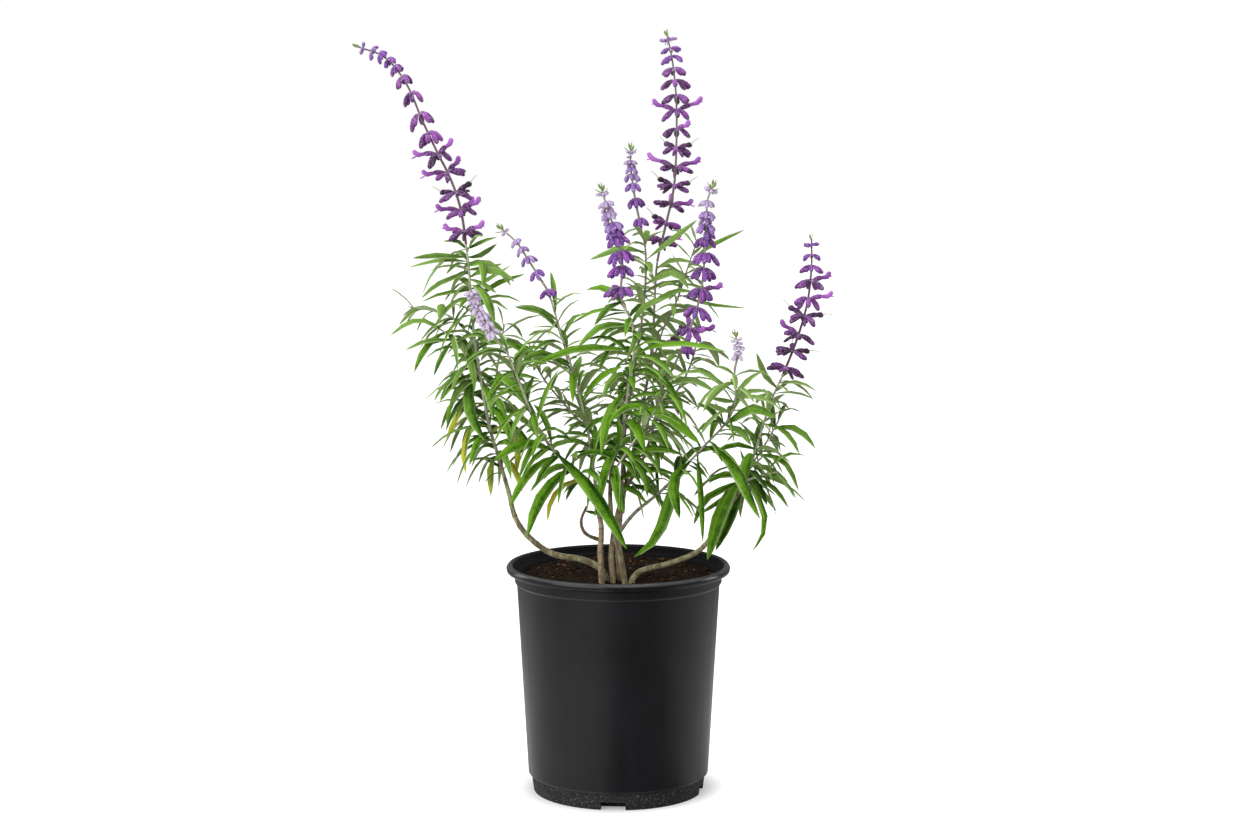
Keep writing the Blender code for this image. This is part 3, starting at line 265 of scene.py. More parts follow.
# Leaves that stand out in the picture: shoot, width, and points from root to tip
PLAIN_TO_SEE = {
    "leafy_stem_far_left": [
        (0, 5.5, (-88, -6, 251), (-93, -9, 246), (-93, -14, 222)),
        (0, 5.5, (-91, -8, 268), (-80, -10, 275), (-73, -12, 262), (-75, -16, 235)),
        (0, 5.5, (-94, -8, 275), (-107, -10, 272), (-113, -12, 255), (-111, -16, 239)),
        (0, 4.5, (-96, -8, 288), (-111, -9, 288), (-120, -11, 276), (-125, -14, 262)),
        (0, 8.5, (-99, -8, 308), (-107, -15, 306), (-107, -22, 285), (-96, -29, 265)),
        (0, 4.5, (-99, -8, 309), (-114, -7, 303), (-124, -4, 283), (-125, -4, 272)),
        (0, 4.5, (-99, -8, 315), (-116, -12, 307), (-129, -18, 295)),
        (1, 5.0, (-125, -17, 343), (-141, -19, 352), (-152, -21, 350), (-164, -24, 341)),
        (1, 5.0, (-120, -15, 337), (-137, -24, 338), (-153, -30, 331)),
        (0, 5.0, (-109, -8, 397), (-131, -12, 398), (-148, -16, 396)),
        (0, 4.5, (-108, -8, 393), (-129, -2, 394), (-152, 4, 388)),
        (0, 5.0, (-107, -8, 387), (-122, -11, 381), (-133, -15, 376), (-142, -18, 367)),
        (0, 5.0, (-107, -8, 374), (-128, -4, 370), (-143, -2, 363)),
        (0, 3.5, (-109, -8, 401), (-117, -5, 408), (-127, -2, 407)),
        (0, 4.5, (-109, -8, 401), (-96, -11, 409), (-87, -14, 411)),
        (0, 4.5, (-109, -8, 396), (-101, -4, 397), (-88, 0, 405)),
        (0, 6.0, (-109, -8, 391), (-98, -15, 392), (-97, -21, 375)),
        (0, 5.0, (-108, -8, 388), (-84, -4, 391)),
        (0, 5.0, (-107, -8, 376), (-94, -11, 381), (-77, -15, 391)),
        (0, 5.0, (-107, -8, 368), (-86, -2, 378), (-68, 2, 383)),
        (0, 5.0, (-105, -8, 356), (-92, -11, 366), (-79, -16, 358)),
    ],
    "leafy_stem_front_left": [
        (0, 10.0, (-44, -40, 261), (-24, -46, 238), (-10, -52, 219), (6, -58, 191)),
        (0, 5.0, (-43, -40, 256), (-52, -48, 250), (-60, -54, 235)),
        (0, 9.0, (-46, -40, 260), (-60, -50, 267), (-74, -58, 266), (-88, -66, 256)),
        (0, 8.5, (-30, -33, 247), (-43, -42, 242), (-58, -50, 223), (-65, -57, 200)),
        (0, 5.5, (-24, -29, 236), (-38, -35, 235), (-49, -39, 223), (-51, -44, 209)),
        (1, 6.5, (-42, -26, 345), (-55, -34, 360), (-74, -40, 363)),
        (1, 6.5, (-33, -23, 317), (-56, -32, 330), (-70, -40, 322)),
    ],
    "leafy_stem_front": [
        (0, 7.0, (1, -31, 266), (-9, -40, 248), (-17, -50, 213)),
        (0, 7.0, (6, -33, 303), (-7, -42, 287), (-12, -54, 259)),
        (0, 6.0, (0, -30, 261), (9, -35, 254), (19, -38, 242), (21, -42, 226)),
        (0, 9.5, (6, -33, 288), (29, -38, 289), (44, -44, 279), (58, -50, 266)),
        (0, 6.5, (11, -36, 328), (26, -41, 336), (51, -46, 338), (77, -51, 332)),
        (0, 6.5, (11, -36, 330), (-21, -42, 335), (-36, -48, 333), (-65, -53, 321)),
        (0, 6.0, (9, -38, 351), (-12, -42, 350), (-29, -47, 335)),
        (0, 5.5, (4, -40, 366), (-7, -46, 364), (-17, -53, 351)),
        (0, 4.5, (6, -39, 360), (-15, -36, 361), (-36, -33, 349)),
        (0, 4.5, (10, -37, 346), (12, -46, 342), (6, -51, 326)),
    ],
    "leafy_stem_right": [
        (0, 6.5, (24, -8, 274), (33, -13, 271), (32, -18, 249)),
        (0, 6.0, (34, -10, 303), (52, -16, 309), (70, -22, 300)),
        (0, 5.0, (30, -9, 291), (50, -2, 298)),
        (1, 10.5, (42, -24, 239), (37, -29, 224), (31, -31, 205), (24, -33, 192), (11, -37, 181)),
        (1, 8.5, (53, -26, 250), (40, -36, 238), (44, -44, 211)),
        (1, 9.5, (62, -29, 261), (71, -37, 260), (82, -44, 251), (91, -51, 234), (101, -58, 213)),
        (1, 4.5, (58, -28, 255), (58, -33, 244), (60, -35, 221), (61, -37, 192)),
        (1, 5.0, (83, -45, 317), (72, -51, 333), (56, -57, 336)),
        (1, 5.0, (83, -40, 303), (56, -47, 319), (35, -53, 311)),
        (1, 5.5, (83, -45, 316), (94, -48, 338), (113, -52, 356)),
        (1, 5.5, (84, -41, 301), (94, -44, 313), (104, -47, 318)),
        (1, 5.0, (84, -40, 299), (98, -33, 303), (112, -27, 299)),
        (1, 5.0, (83, -39, 294), (65, -50, 299)),
        (1, 5.0, (81, -36, 287), (62, -28, 293)),
        (1, 6.5, (77, -33, 279), (66, -42, 290), (56, -48, 295)),
        (1, 8.5, (76, -33, 278), (96, -43, 291), (112, -51, 285)),
        (1, 6.0, (77, -34, 279), (88, -40, 274), (95, -45, 264)),
    ],
    "leafy_stem_far_right": [
        (0, 11.5, (93, 3, 232), (86, -3, 230), (73, -11, 206), (65, -18, 176)),
        (0, 9.5, (94, 4, 234), (90, 9, 226), (79, 8, 196), (72, 8, 178)),
        (0, 4.5, (96, 4, 238), (104, 6, 216), (108, 3, 202), (105, 0, 188), (98, -2, 179)),
        (0, 6.5, (92, 3, 230), (80, -4, 228), (63, -8, 219), (55, -14, 201)),
        (0, 6.5, (90, 3, 227), (78, 13, 217), (59, 17, 203)),
        (0, 5.0, (99, 5, 249), (116, 1, 249), (125, -3, 242), (132, -6, 225)),
        (0, 5.5, (98, 4, 244), (109, -3, 242), (124, -10, 232)),
        (0, 5.5, (96, 4, 238), (100, -8, 239), (109, -16, 227)),
        (0, 5.5, (95, 4, 236), (103, -2, 228), (109, -6, 214)),
        (0, 5.0, (94, 4, 234), (102, 12, 229), (114, 16, 212)),
        (0, 5.0, (101, 5, 252), (86, 12, 257), (69, 17, 249)),
        (0, 6.0, (116, 9, 299), (109, 6, 311), (103, 2, 329)),
        (0, 8.5, (109, 8, 278), (117, 3, 282), (124, -2, 309)),
        (0, 4.0, (118, 9, 302), (134, 6, 305), (148, 3, 299)),
    ],
    "leafy_stem_back": [
        (1, 4.8, (20, 18, 391), (31, 9, 402), (57, 3, 422)),
        (1, 5.5, (20, 18, 396), (1, 12, 401), (-21, 8, 393)),
        (0, 5.5, (28, 48, 382), (40, 42, 391), (56, 38, 389)),
        (1, 7.0, (19, 17, 372), (36, 8, 384), (44, 4, 383), (51, -2, 373)),
        (1, 6.0, (18, 16, 359), (42, 6, 371), (54, 2, 370)),
        (4, 4.0, (52, 10, 388), (64, 5, 402), (91, 1, 415)),
        (4, 4.0, (44, 11, 365), (64, 13, 361), (93, 16, 357)),
    ],
}

# Blooms are (whorl, compass angle, length share); 0 looks to +X and 90 away from the viewer.
SPIKES = {
    "flower_spike_far_left": Spike(
        "leafy_stem_far_left", 0,
        [(-110, -8, 405), (-113, -10, 428), (-117, -11, 443), (-123, -12, 458), (-129, -14, 470),
         (-140, -16, 494), (-151, -17, 520), (-166, -18, 539), (-186, -20, 547)],
        [5, 11, 17, 24, 31, 40, 53, 69, 84, 100, 115, 131, 144, 160], hang=0.5, first_full=66.0, loose=84.0,
        blooms=[(9, 185, 1.0), (9, 10, 0.7), (10, 190, 0.95), (10, 80, 0.8), (11, 170, 0.8), (11, 5, 0.9),
                (12, 180, 0.95), (12, 340, 0.85), (13, 350, 1.1), (13, 200, 0.8), (12, 95, 0.8)]),
    "flower_spike_left": Spike(
        "leafy_stem_front_left", 1,
        [(-50, -30, 372), (-55, -31, 381), (-65, -33, 397), (-72, -34, 408), (-84, -36, 419)],
        [5, 14, 21, 29, 41, 57], calyx=0.68, first_full=34.0, sides=4),
    "flower_spike_young": Spike(
        "leafy_stem_front_left", 0,
        [(-85, -75, 343), (-95, -79, 360), (-100, -81, 370), (-104, -84, 382)],
        [6, 11, 17, 23, 30, 37], calyx=0.7, young=0.6, first_full=60.0, sides=4),
    "flower_spike_front": Spike(
        "leafy_stem_front", 0,
        [(2, -41, 370), (3, -42, 393), (-2, -44, 416), (-8, -46, 434), (-12, -48, 448)],
        [5, 11, 18, 27, 37, 48, 59, 74], calyx=0.98, young=0.36, first_full=48.0, loose=60.0),
    "flower_spike_back_small": Spike(
        "leafy_stem_back", 1,
        [(16, 20, 418), (12, 19, 438), (9, 19, 460), (9, 18, 474)],
        [4, 10, 15, 20, 27, 38, 53], calyx=0.72, hang=0.42, first_full=28.0, sides=4),
    "flower_spike_tall": Spike(
        "leafy_stem_back", 0,
        [(29, 50, 388), (35, 53, 414), (41, 55, 441), (43, 58, 469), (43, 61, 508), (40, 63, 537),
         (36, 66, 556)],
        [5, 11, 17, 26, 35, 46, 57, 71, 85, 99, 113, 127, 141, 154], young=0.4, hang=0.28, first_full=32.0,
        loose=78.0,
        blooms=[(6, 0, 1.1), (6, 185, 1.0), (8, 5, 0.8), (9, 180, 1.2), (9, 355, 1.0), (10, 175, 0.9),
                (10, 10, 0.85), (11, 5, 0.9), (12, 180, 0.8), (13, 350, 1.0), (8, 90, 0.9),
                (11, 95, 0.9), (7, 270, 0.7)]),
    "flower_spike_right": Spike(
        "leafy_stem_right", 0,
        [(45, -14, 328), (52, -16, 345), (60, -17, 374), (63, -19, 419), (64, -20, 438),
         (68, -22, 449)],
        [5, 13, 21, 30, 40, 51, 62, 77, 91, 107, 120], young=0.36, first_full=50.0, loose=95.0,
        blooms=[(7, 355, 0.8), (9, 0, 0.95), (9, 330, 0.8), (10, 185, 0.7), (9, 100, 0.8)]),
    "flower_spike_far_right": Spike(
        "leafy_stem_far_right", 0,
        [(121, 10, 309), (131, 10, 335), (138, 11, 360), (141, 12, 385), (141, 12, 408)],
        [5, 12, 20, 31, 44, 57, 71, 84, 97], hang=0.3, first_full=34.0, loose=46.0,
        blooms=[(3, 350, 0.8), (4, 10, 0.95), (5, 0, 1.05), (5, 170, 0.9), (7, 0, 0.9), (6, 190, 0.85),
                (7, 95, 0.8)]),
    "flower_spike_bud": Spike(
        "leafy_stem_right", 1,
        [(83, -45, 318), (86, -46, 333), (83, -46, 344)],
        [5, 10, 16], calyx=0.6, young=0.6, first_full=60.0, sides=4),
}


class Line:
    """A smooth route through a few points, read by the distance along it.

    A point before its start or after its end bends that end towards it.
    """

    def __init__(self, points, pieces=6, before=None, after=None):
        knots = [Vector(point) for point in points]
        lead = [knots[0] if before is None else Vector(before)] + knots[:-1]
        trail = knots[1:] + [knots[-1] if after is None else Vector(after)]
        ways = [(later - earlier).normalized() for earlier, later in zip(lead, trail)]
        self.points = [knots[0]]
        for start, end, leave, arrive in zip(knots, knots[1:], ways, ways[1:]):
            span = (end - start).length
            for step in range(1, pieces + 1):
                t = step / pieces
                rise = t * t * (3 - 2 * t)
                self.points.append(
                    start * (1 - rise) + end * rise
                    + leave * span * t * (1 - t) ** 2 - arrive * span * t * t * (1 - t))
        self.marks = [0.0]
        for a, b in zip(self.points, self.points[1:]):
            self.marks.append(self.marks[-1] + (b - a).length)
        self.length = self.marks[-1]

    def span_at(self, distance):
        """The number of the straight piece there, and how far along it the distance falls."""
        distance = min(max(distance, 0.0), self.length)
        index = 0
        while index < len(self.marks) - 2 and self.marks[index + 1] < distance:
            index += 1
        return index, (distance - self.marks[index]) / (self.marks[index + 1] - self.marks[index])

    def at(self, distance):
        index, share = self.span_at(distance)
        return self.points[index].lerp(self.points[index + 1], share)

    def heading(self, distance):
        index, _ = self.span_at(distance)
        return (self.points[index + 1] - self.points[index]).normalized()

    def nearest(self, place):
        """How far along the route it passes closest to a place."""
        index = min(range(len(self.points)), key=lambda i: (self.points[i] - place).length_squared)
        return self.marks[index]


@dataclass
class Blade:
    """A leaf: its midrib, its width and roughly which way its upper face looks."""

    rib: Line
    width: float
    face: Vector


@dataclass
class Flower:
    """A calyx or an open bloom: a finger that a spike bears at one whorl, on one side."""

    whorl: int
    side: int
    line: Line
    span: Vector
    radius: float
    kind: str


def loft(rings, start=None, end=None):
    """Points and triangles of a skin over rings of equal count, closed by a point or flat at each end."""
    count = len(rings[0])
    points = [point for ring in rings for point in ring]
    faces = []
    for low in range(0, len(points) - count, count):
        for side in range(count):
            a, b = low + side, low + (side + 1) % count
            faces.append((a, b, b + count))
            faces.append((a, b + count, a + count))
    last = len(points) - count
    if start is None:
        faces += [(0, side + 1, side) for side in range(1, count - 1)]
    else:
        points.append(start)
        faces += [(len(points) - 1, (side + 1) % count, side) for side in range(count)]
    if end is None:
        faces += [(last, last + side, last + side + 1) for side in range(1, count - 1)]
    else:
        points.append(end)
        faces += [(len(points) - 1, last + side, last + (side + 1) % count) for side in range(count)]
    return points, faces


def across(heading, hint):
    """A unit vector square to the heading that points as far as it can towards the hint."""
    side = hint - heading * hint.dot(heading)
    return side.normalized() if side.length > 1e-6 else heading.orthogonal().normalized()


# Stations along a blade: share of its length, share of its width
LONG_LEAF = ((0.16, 0.5), (0.42, 1.0), (0.74, 0.74))
SHORT_LEAF = ((0.2, 0.66), (0.56, 1.0))
TINY_LEAF = ((0.42, 1.0),)


def leaf_stations(length):
    if length > LONG:
        return LONG_LEAF
    return SHORT_LEAF if length > TINY else TINY_LEAF


def blade_ring(blade, share, width, thick):
    """A three-cornered cross-section: the two edges and the keel of the midrib below them."""
    distance = share * blade.rib.length
    heading = blade.rib.heading(distance)
    top = across(heading, blade.face)
    side = top.cross(heading)
    middle = blade.rib.at(distance)
    return [
        middle + side * width / 2 + top * thick * EDGE_RISE,
        middle - side * width / 2 + top * thick * EDGE_RISE,
        middle - top * thick * (1 - EDGE_RISE),
    ]


def blade_skin(blade, extra=0.0):
    """The leaf as a closed skin; extra swells it to test how clear it lies of the rest."""
    thick = LEAF_THICKNESS + 2 * extra
    rings = [blade_ring(blade, 0.0, PETIOLE_WIDTH + 2 * extra, thick)]
    for share, part in leaf_stations(blade.rib.length):
        rings.append(blade_ring(blade, share, blade.width * part + 2 * extra, thick))
    tip = blade.rib.points[-1] + blade.rib.heading(blade.rib.length) * extra
    return loft(rings, end=tip)


def outer_skin(blade):
    """The leaf past its root, to test it against the other leaves of its own stem."""
    stations = [(share, part) for share, part in leaf_stations(blade.rib.length) if share > OWN_PART]
    stations.insert(0, (OWN_PART, stations[0][1] * OWN_START))
    return loft([blade_ring(blade, share, blade.width * part, LEAF_THICKNESS) for share, part in stations],
                end=blade.rib.points[-1])


def turned(first, second, angle):
    """A direction in the plane of two others, turned from the first towards the second."""
    return first * math.cos(angle) + second * math.sin(angle)


def round_ring(line, share, radius, sides):
    distance = share * line.length
    heading = line.heading(distance)
    first = across(heading, UP)
    second = heading.cross(first)
    return [line.at(distance) + turned(first, second, math.tau * k / sides) * radius for k in range(sides)]


# Stations along a flower, by kind: share of its length, share of its radius. The last is its blunt end.
FLOWER_STATIONS = {
    "calyx": ((1.0, 0.85),),
    "bloom": ((0.42, 1.0), (0.8, 0.75), (1.0, 0.5)),
}


def flower_rings(flower):
    """Square cross-sections along a flower, their first side turned along its span."""
    rings = []
    for share, part in FLOWER_STATIONS[flower.kind]:
        distance = share * flower.line.length
        wide = flower.span * flower.radius * part
        high = flower.line.heading(distance).cross(flower.span).normalized() * flower.radius * part
        middle = flower.line.at(distance)
        rings.append([middle - wide - high, middle + wide - high, middle + wide + high, middle - wide + high])
    return rings


def flower_skin(flower):
    return loft(flower_rings(flower), start=flower.line.points[0])


def tube_skin(line, low_radius, high_radius, sides=6, step=9.0):
    count = max(2, round(line.length / step) + 1)
    rings = []
    for k in range(count):
        share = k / (count - 1)
        rings.append(round_ring(line, share, low_radius + (high_radius - low_radius) * share, sides))
    return loft(rings)


def box_of(points):
    """The lowest and the highest corner of some points."""
    return (Vector(min(point[axis] for point in points) for axis in range(3)),
            Vector(max(point[axis] for point in points) for axis in range(3)))


def search_tree(skin):
    return BVHTree.FromPolygons(*skin, all_triangles=True)


class Room:
    """What is already placed, so that the next leaf can be bent clear of it."""

    def __init__(self):
        self.taken = []

    def add(self, owner, skin):
        self.taken.append((owner, *box_of(skin[0]), search_tree(skin)))

    def meets(self, skin, owner, own):
        """Whether a skin crosses what its owner has placed, or what the others have."""
        low, high = box_of(skin[0])
        tree = None
        for other, other_low, other_high, other_tree in self.taken:
            if (other == owner) != own:
                continue
            if any(low[k] > other_high[k] or other_low[k] > high[k] for k in range(3)):
                continue
            tree = tree or search_tree(skin)
            if tree.overlap(other_tree):
                return True
        return False

    def blocks(self, blade, owner):
        """Whether a leaf runs through itself, or comes too near to what others have placed."""
        return folded(blade_skin(blade)) or self.meets(blade_skin(blade, LEAF_CLEARANCE), owner, own=False)


def folded(skin):
    """Whether a skin runs through itself, as a blade's does where it bends too sharply."""
    faces, tree = skin[1], search_tree(skin)
    return any(not set(faces[a]) & set(faces[b]) for a, b in tree.overlap(tree))


def clamp(value):
    return min(1.0, max(0.0, value))


def graded(value, start, over):
    """How far a value has gone past a start, as a share of a distance, from 0 to 1."""
    return clamp((value - start) / over)


def soil_height(x, y):
    lump = math.sin(x * SOIL_WAVES[0] + 1) * math.sin(y * SOIL_WAVES[1])
    return SOIL_MIDDLE + SOIL_SLOPE * y + SOIL_LUMP * lump


def wall_radius(height):
    """The pot's inner wall below its ledge."""
    share = (height - FOOT_HEIGHT) / (COLLAR_BOTTOM - FOOT_HEIGHT)
    return BODY_BOTTOM_RADIUS + (BODY_TOP_RADIUS - BODY_BOTTOM_RADIUS) * share - POT_WALL


def pot_profile():
    """Radii and heights of the pot's wall, from the inner edge of its rim round to the inside."""
    return [
        (MOUTH_RADIUS, POT_HEIGHT - MOUTH_DROP),
        (MOUTH_RADIUS + RIM_FLAT[0], POT_HEIGHT),
        (RIM_RADIUS - RIM_FLAT[1], POT_HEIGHT),
        (RIM_RADIUS, POT_HEIGHT - RIM_BELLY),
        (RIM_RADIUS - RIM_TUCK, POT_HEIGHT - RIM_DEPTH),
        (COLLAR_RADIUS, POT_HEIGHT - RIM_DEPTH - COLLAR_DROP),
        (COLLAR_RADIUS, COLLAR_BOTTOM + SMALL_STEP),
        (BODY_TOP_RADIUS, COLLAR_BOTTOM - SMALL_STEP),
        (BODY_BOTTOM_RADIUS, FOOT_HEIGHT + SMALL_STEP),
        (FOOT_TOP_RADIUS, FOOT_HEIGHT - SMALL_STEP),
        (FOOT_RADIUS, 0.0),
        (0.0, 0.0),
        (0.0, POT_FLOOR),
        (FOOT_RADIUS - POT_WALL, POT_FLOOR),
        (wall_radius(FOOT_HEIGHT) - SMALL_STEP, FOOT_HEIGHT + FLOOR_RISE),
        (wall_radius(LEDGE_HEIGHT), LEDGE_HEIGHT - SMALL_STEP / 2),
        (MOUTH_RADIUS - SMALL_STEP, LEDGE_HEIGHT + SMALL_STEP / 2),
        (MOUTH_RADIUS, POT_HEIGHT - MOUTH_DROP),
    ]


def soil_profile(shares):
    """Radii and heights of the soil, with a ring on its surface at each share of its radius."""
    top_radius = wall_radius(COLLAR_BOTTOM) - SEAT_GAP
    return [(0.0, SOIL_MIDDLE)] + [(top_radius * share, SOIL_MIDDLE) for share in shares] + [
        (top_radius, SOIL_MIDDLE - SOIL_EDGE),
        (wall_radius(FOOT_HEIGHT) - SMALL_STEP - SEAT_GAP, FOOT_HEIGHT + FLOOR_RISE),
        (FOOT_RADIUS - POT_WALL - SOIL_FOOT, POT_FLOOR + SEAT_GAP),
        (0.0, POT_FLOOR + SEAT_GAP),
    ]


def shoot_line(owner, number):
    """The route of a shoot; one that bears a flower spike ends on the way that the spike sets out."""
    beyond = [spike.route[1] for spike in SPIKES.values() if (spike.stem, spike.shoot) == (owner, number)]
    return Line(STEMS[owner][number].route, after=beyond[0] if beyond else None)


def spike_line(spike):
    """The route of a flower spike, seated just above the end of the shoot that bears it."""
    below = shoot_line(spike.stem, spike.shoot)
    seat = below.points[-1] + below.heading(below.length) * SEAT_GAP
    return Line([seat] + spike.route[1:], before=STEMS[spike.stem][spike.shoot].route[-2])


def whorl_turn(spike, number):
    """Each whorl is turned half a step from the one below it."""
    return math.pi / spike.sides * (number % 2)


def axis_frame(axis, distance):
    """Place, heading and the two directions square to it, the first as near +Y as they go."""
    heading = axis.heading(distance)
    first = across(heading, NORTH)
    return axis.at(distance), heading, first, heading.cross(first)


def calyx(spike, axis, number, side, turn=0.0, steep=1.0, paired=PAIRED):
    """A calyx of one whorl. It stands out from the axis near the tip, and hangs where it is ripe.

    The calyces of a whorl lean a little towards its left and right sides, where they grow in two groups.
    """
    below_tip = spike.whorls[number]
    root, heading, first, second = axis_frame(axis, axis.length - below_tip)
    ripe = min(1.0, below_tip / spike.first_full)
    hanging = min(1.0, below_tip / HANGING_FROM)
    loose = graded(below_tip, spike.loose, LOOSENING)
    size = spike.calyx * (spike.young + (1 - spike.young) * ripe)
    rise = YOUNG_RISE * (1 - hanging)
    waver = math.sin(WAVER[0] * side + WAVER[1] * number + WAVER[2] * turn)
    angle = math.tau * (side + 0.5) / spike.sides + whorl_turn(spike, number) + turn
    angle += paired * math.sin(2 * angle) + UNEVEN / 2 * waver
    out = turned(first, second, angle)
    leave = (out + heading * rise).normalized()
    held = spike.hang * hanging
    droop = held * (1 - loose / 2 + UNEVEN * math.sin(DROOP_WAVER * side + number)) * steep
    hang = (out * (1 - held) + heading * (rise - held * (1 - loose)) - UP * droop).normalized()
    reach = CALYX_LENGTH * size * (1 + UNEVEN / 2 * waver)
    radius = CALYX_RADIUS * (CALYX_SLIMMEST + (1 - CALYX_SLIMMEST) * size)
    knee = root + leave * reach * CALYX_KNEE
    line = Line([root, knee, knee + hang * reach * (1 - CALYX_KNEE)], 3)
    return Flower(number, side, line, heading.cross(out), radius, "calyx")


def spike_flowers(spike):
    """The calyces and open blooms of one spike, whorl by whorl."""
    axis = spike_line(spike)
    flowers = [calyx(spike, axis, number, side)
               for number in range(len(spike.whorls)) for side in range(spike.sides)]
    for whorl, compass, share in spike.blooms:
        out = turned(EAST, NORTH, math.radians(compass))
        around = [flower for flower in flowers if flower.whorl == whorl and flower.kind == "calyx"]
        bloom = max(around, key=lambda flower: out.dot(flower.line.points[-1] - flower.line.points[0]))
        root, knee = bloom.line.points[0], bloom.line.at(bloom.line.length * CALYX_KNEE)
        reach = COROLLA_REACH * share * spike.calyx
        out = (knee - root + UP * COROLLA_LIFT).normalized()
        bend = root + out * reach * COROLLA_BEND - UP * COROLLA_DIP
        bloom.line = Line([root, root + out * reach / 2, bend, root + out * reach + UP * COROLLA_DIP], 3)
        bloom.kind = "bloom"
    return flowers


def named_blades(owner, lines, room):
    """The leaves that stand out, each bent clear by the least change that clears it."""
    blades = []
    draw = random.Random(f"{owner} {SEED}")
    for shoot, width, *points in PLAIN_TO_SEE[owner]:
        stem = lines[shoot]
        root = stem.at(stem.nearest(Vector(points[0])))
        for attempt in range(TRIES):
            shift = Vector(draw.uniform(-1, 1) for _ in range(3)) * attempt * NUDGE
            rest = [Vector(point) + shift * (k + 1) / len(points) for k, point in enumerate(points[1:])]
            reach = rest[-1] - root
            face = PLAIN_FACE + Vector((reach.x, reach.y, 0)).normalized() * PLAIN_LEAN
            blade = Blade(Line([root] + rest, 5), width, face)
            if not room.blocks(blade, owner):
                room.add(owner, blade_skin(blade))
                blades.append(blade)
                break
    return blades


def rule_blade(stem, distance, compass, length, droop, lift, width, tilt):
    """A leaf that leaves its stem at a compass angle about it, then bends under its weight."""
    root = stem.at(distance)
    heading = stem.heading(distance)
    east = across(heading, NORTH if abs(heading.x) > MOSTLY_ALONG_X else EAST)
    north = heading.cross(east)
    out = turned(east, north, compass)
    way = turned(out, heading, lift).normalized()
    points = [root]
    for _ in range(LEAF_STEPS):
        points.append(points[-1] + way * length / LEAF_STEPS)
        way = (way - UP * droop / LEAF_STEPS).normalized()
    outward = Vector((root.x, root.y - PLANT_MIDDLE_Y, 0)).normalized()
    face = UP + out * LEAN_OUT + outward * ROLL_OUT + tilt
    return Blade(Line(points, 2), width, face)


def rule_blades(owner, lines, room):
    """Opposite pairs up each shoot, each pair square to the last, with small leaves in their axils."""
    blades = []
    draw = random.Random(f"{SEED} {owner}")
    for shoot, stem in zip(STEMS[owner], lines):
        distance = stem.length * shoot.bare
        pair = 0
        while distance < stem.length - BARE_TIP:
            share = (distance - stem.length * shoot.bare) / (stem.length * (1 - shoot.bare))
            length = shoot.leaf[0] + (shoot.leaf[1] - shoot.leaf[0]) * share
            compass = math.radians(shoot.turn + 90 * pair + draw.uniform(*COMPASS_SPREAD))
            for turn in (0.0, math.pi):
                size = length * draw.uniform(*LENGTH_SPREAD)
                blades += grown(owner, stem, distance, compass + turn, size, draw, room)
            if pair % 2 == 0:
                blades += grown(owner, stem, distance + AXIL_RISE, compass + draw.choice(AXIL_TURNS),
                                draw.uniform(*AXIL_LENGTH), draw, room)
            distance += NODE_SPACING * (1 - TIP_CROWDING * share) * draw.uniform(*SPACING_SPREAD)
            pair += 1
    return blades


def grown(owner, stem, distance, compass, length, draw, room, lifts=LIFT, droops=DROOP):
    """One rule-made leaf in a list, or none where no try finds room for it."""
    heavy = min(1.0, length / HEAVY_LEAF)
    for attempt in range(TRIES):
        spread = TRY_TURN * attempt
        blade = rule_blade(
            stem, distance, compass + draw.uniform(-spread, spread),
            length * (1 - TRY_SHRINK * attempt),
            droop=heavy * draw.uniform(*droops) + TRY_DROOP * attempt * draw.uniform(-1, 1),
            lift=draw.uniform(*lifts) + spread / 2 * draw.uniform(-1, 1),
            width=max(LEAST_WIDTH, length * LEAF_ASPECT),
            tilt=Vector((draw.uniform(*TILT_X), draw.uniform(*TILT_Y), 0)))
        if room.blocks(blade, owner):
            continue
        outer = outer_skin(blade)
        if attempt < TRIES - LAST_TRIES and room.meets(outer, owner, own=True):
            continue
        room.add(owner, outer if attempt < TRIES - LAST_TRIES else blade_skin(blade))
        room.add(owner + " root", blade_skin(blade))
        return [blade]
    return []


def plan_plant(room):
    """Every stem's lines and leaves, and every spike's flowers, each clear of the other pieces."""
    lines = {owner: [shoot_line(owner, k) for k in range(len(shoots))] for owner, shoots in STEMS.items()}
    for owner, shoots in STEMS.items():
        for shoot, line in zip(shoots, lines[owner]):
            room.add(owner, tube_skin(line, shoot.thick[0] / 2, shoot.thick[1] / 2))
    flowers = {name: spike_flowers(spike) for name, spike in SPIKES.items()}
    for name, spike in SPIKES.items():
        room.add(name, tube_skin(spike_line(spike), *SPIKE_THICK))
        for flower in flowers[name]:
            room.add(name, flower_skin(flower))
    pot = Line([(0, 0, 0), (0, 0, POT_HEIGHT + 1)])
    room.add("nursery_pot", tube_skin(pot, RIM_RADIUS + 1, RIM_RADIUS + 1, sides=POT_SIDES))
    blades = {owner: named_blades(owner, lines[owner], room) for owner in STEMS}
    for owner in STEMS:
        blades[owner] += rule_blades(owner, lines[owner], room)
    return lines, blades, flowers


@functools.lru_cache(maxsize=1)
def planned():
    """The plan of the whole plant, worked out once, with the small leaves that fill it."""
    room = Room()
    lines, blades, flowers = plan_plant(room)
    small = {owner: small_blades(owner, lines[owner], room) for owner in STEMS}
    return lines, blades, flowers, small


# What the growth tree makes of a strand
BLADE, WOOD, CALYX, COROLLA, LIP = range(5)

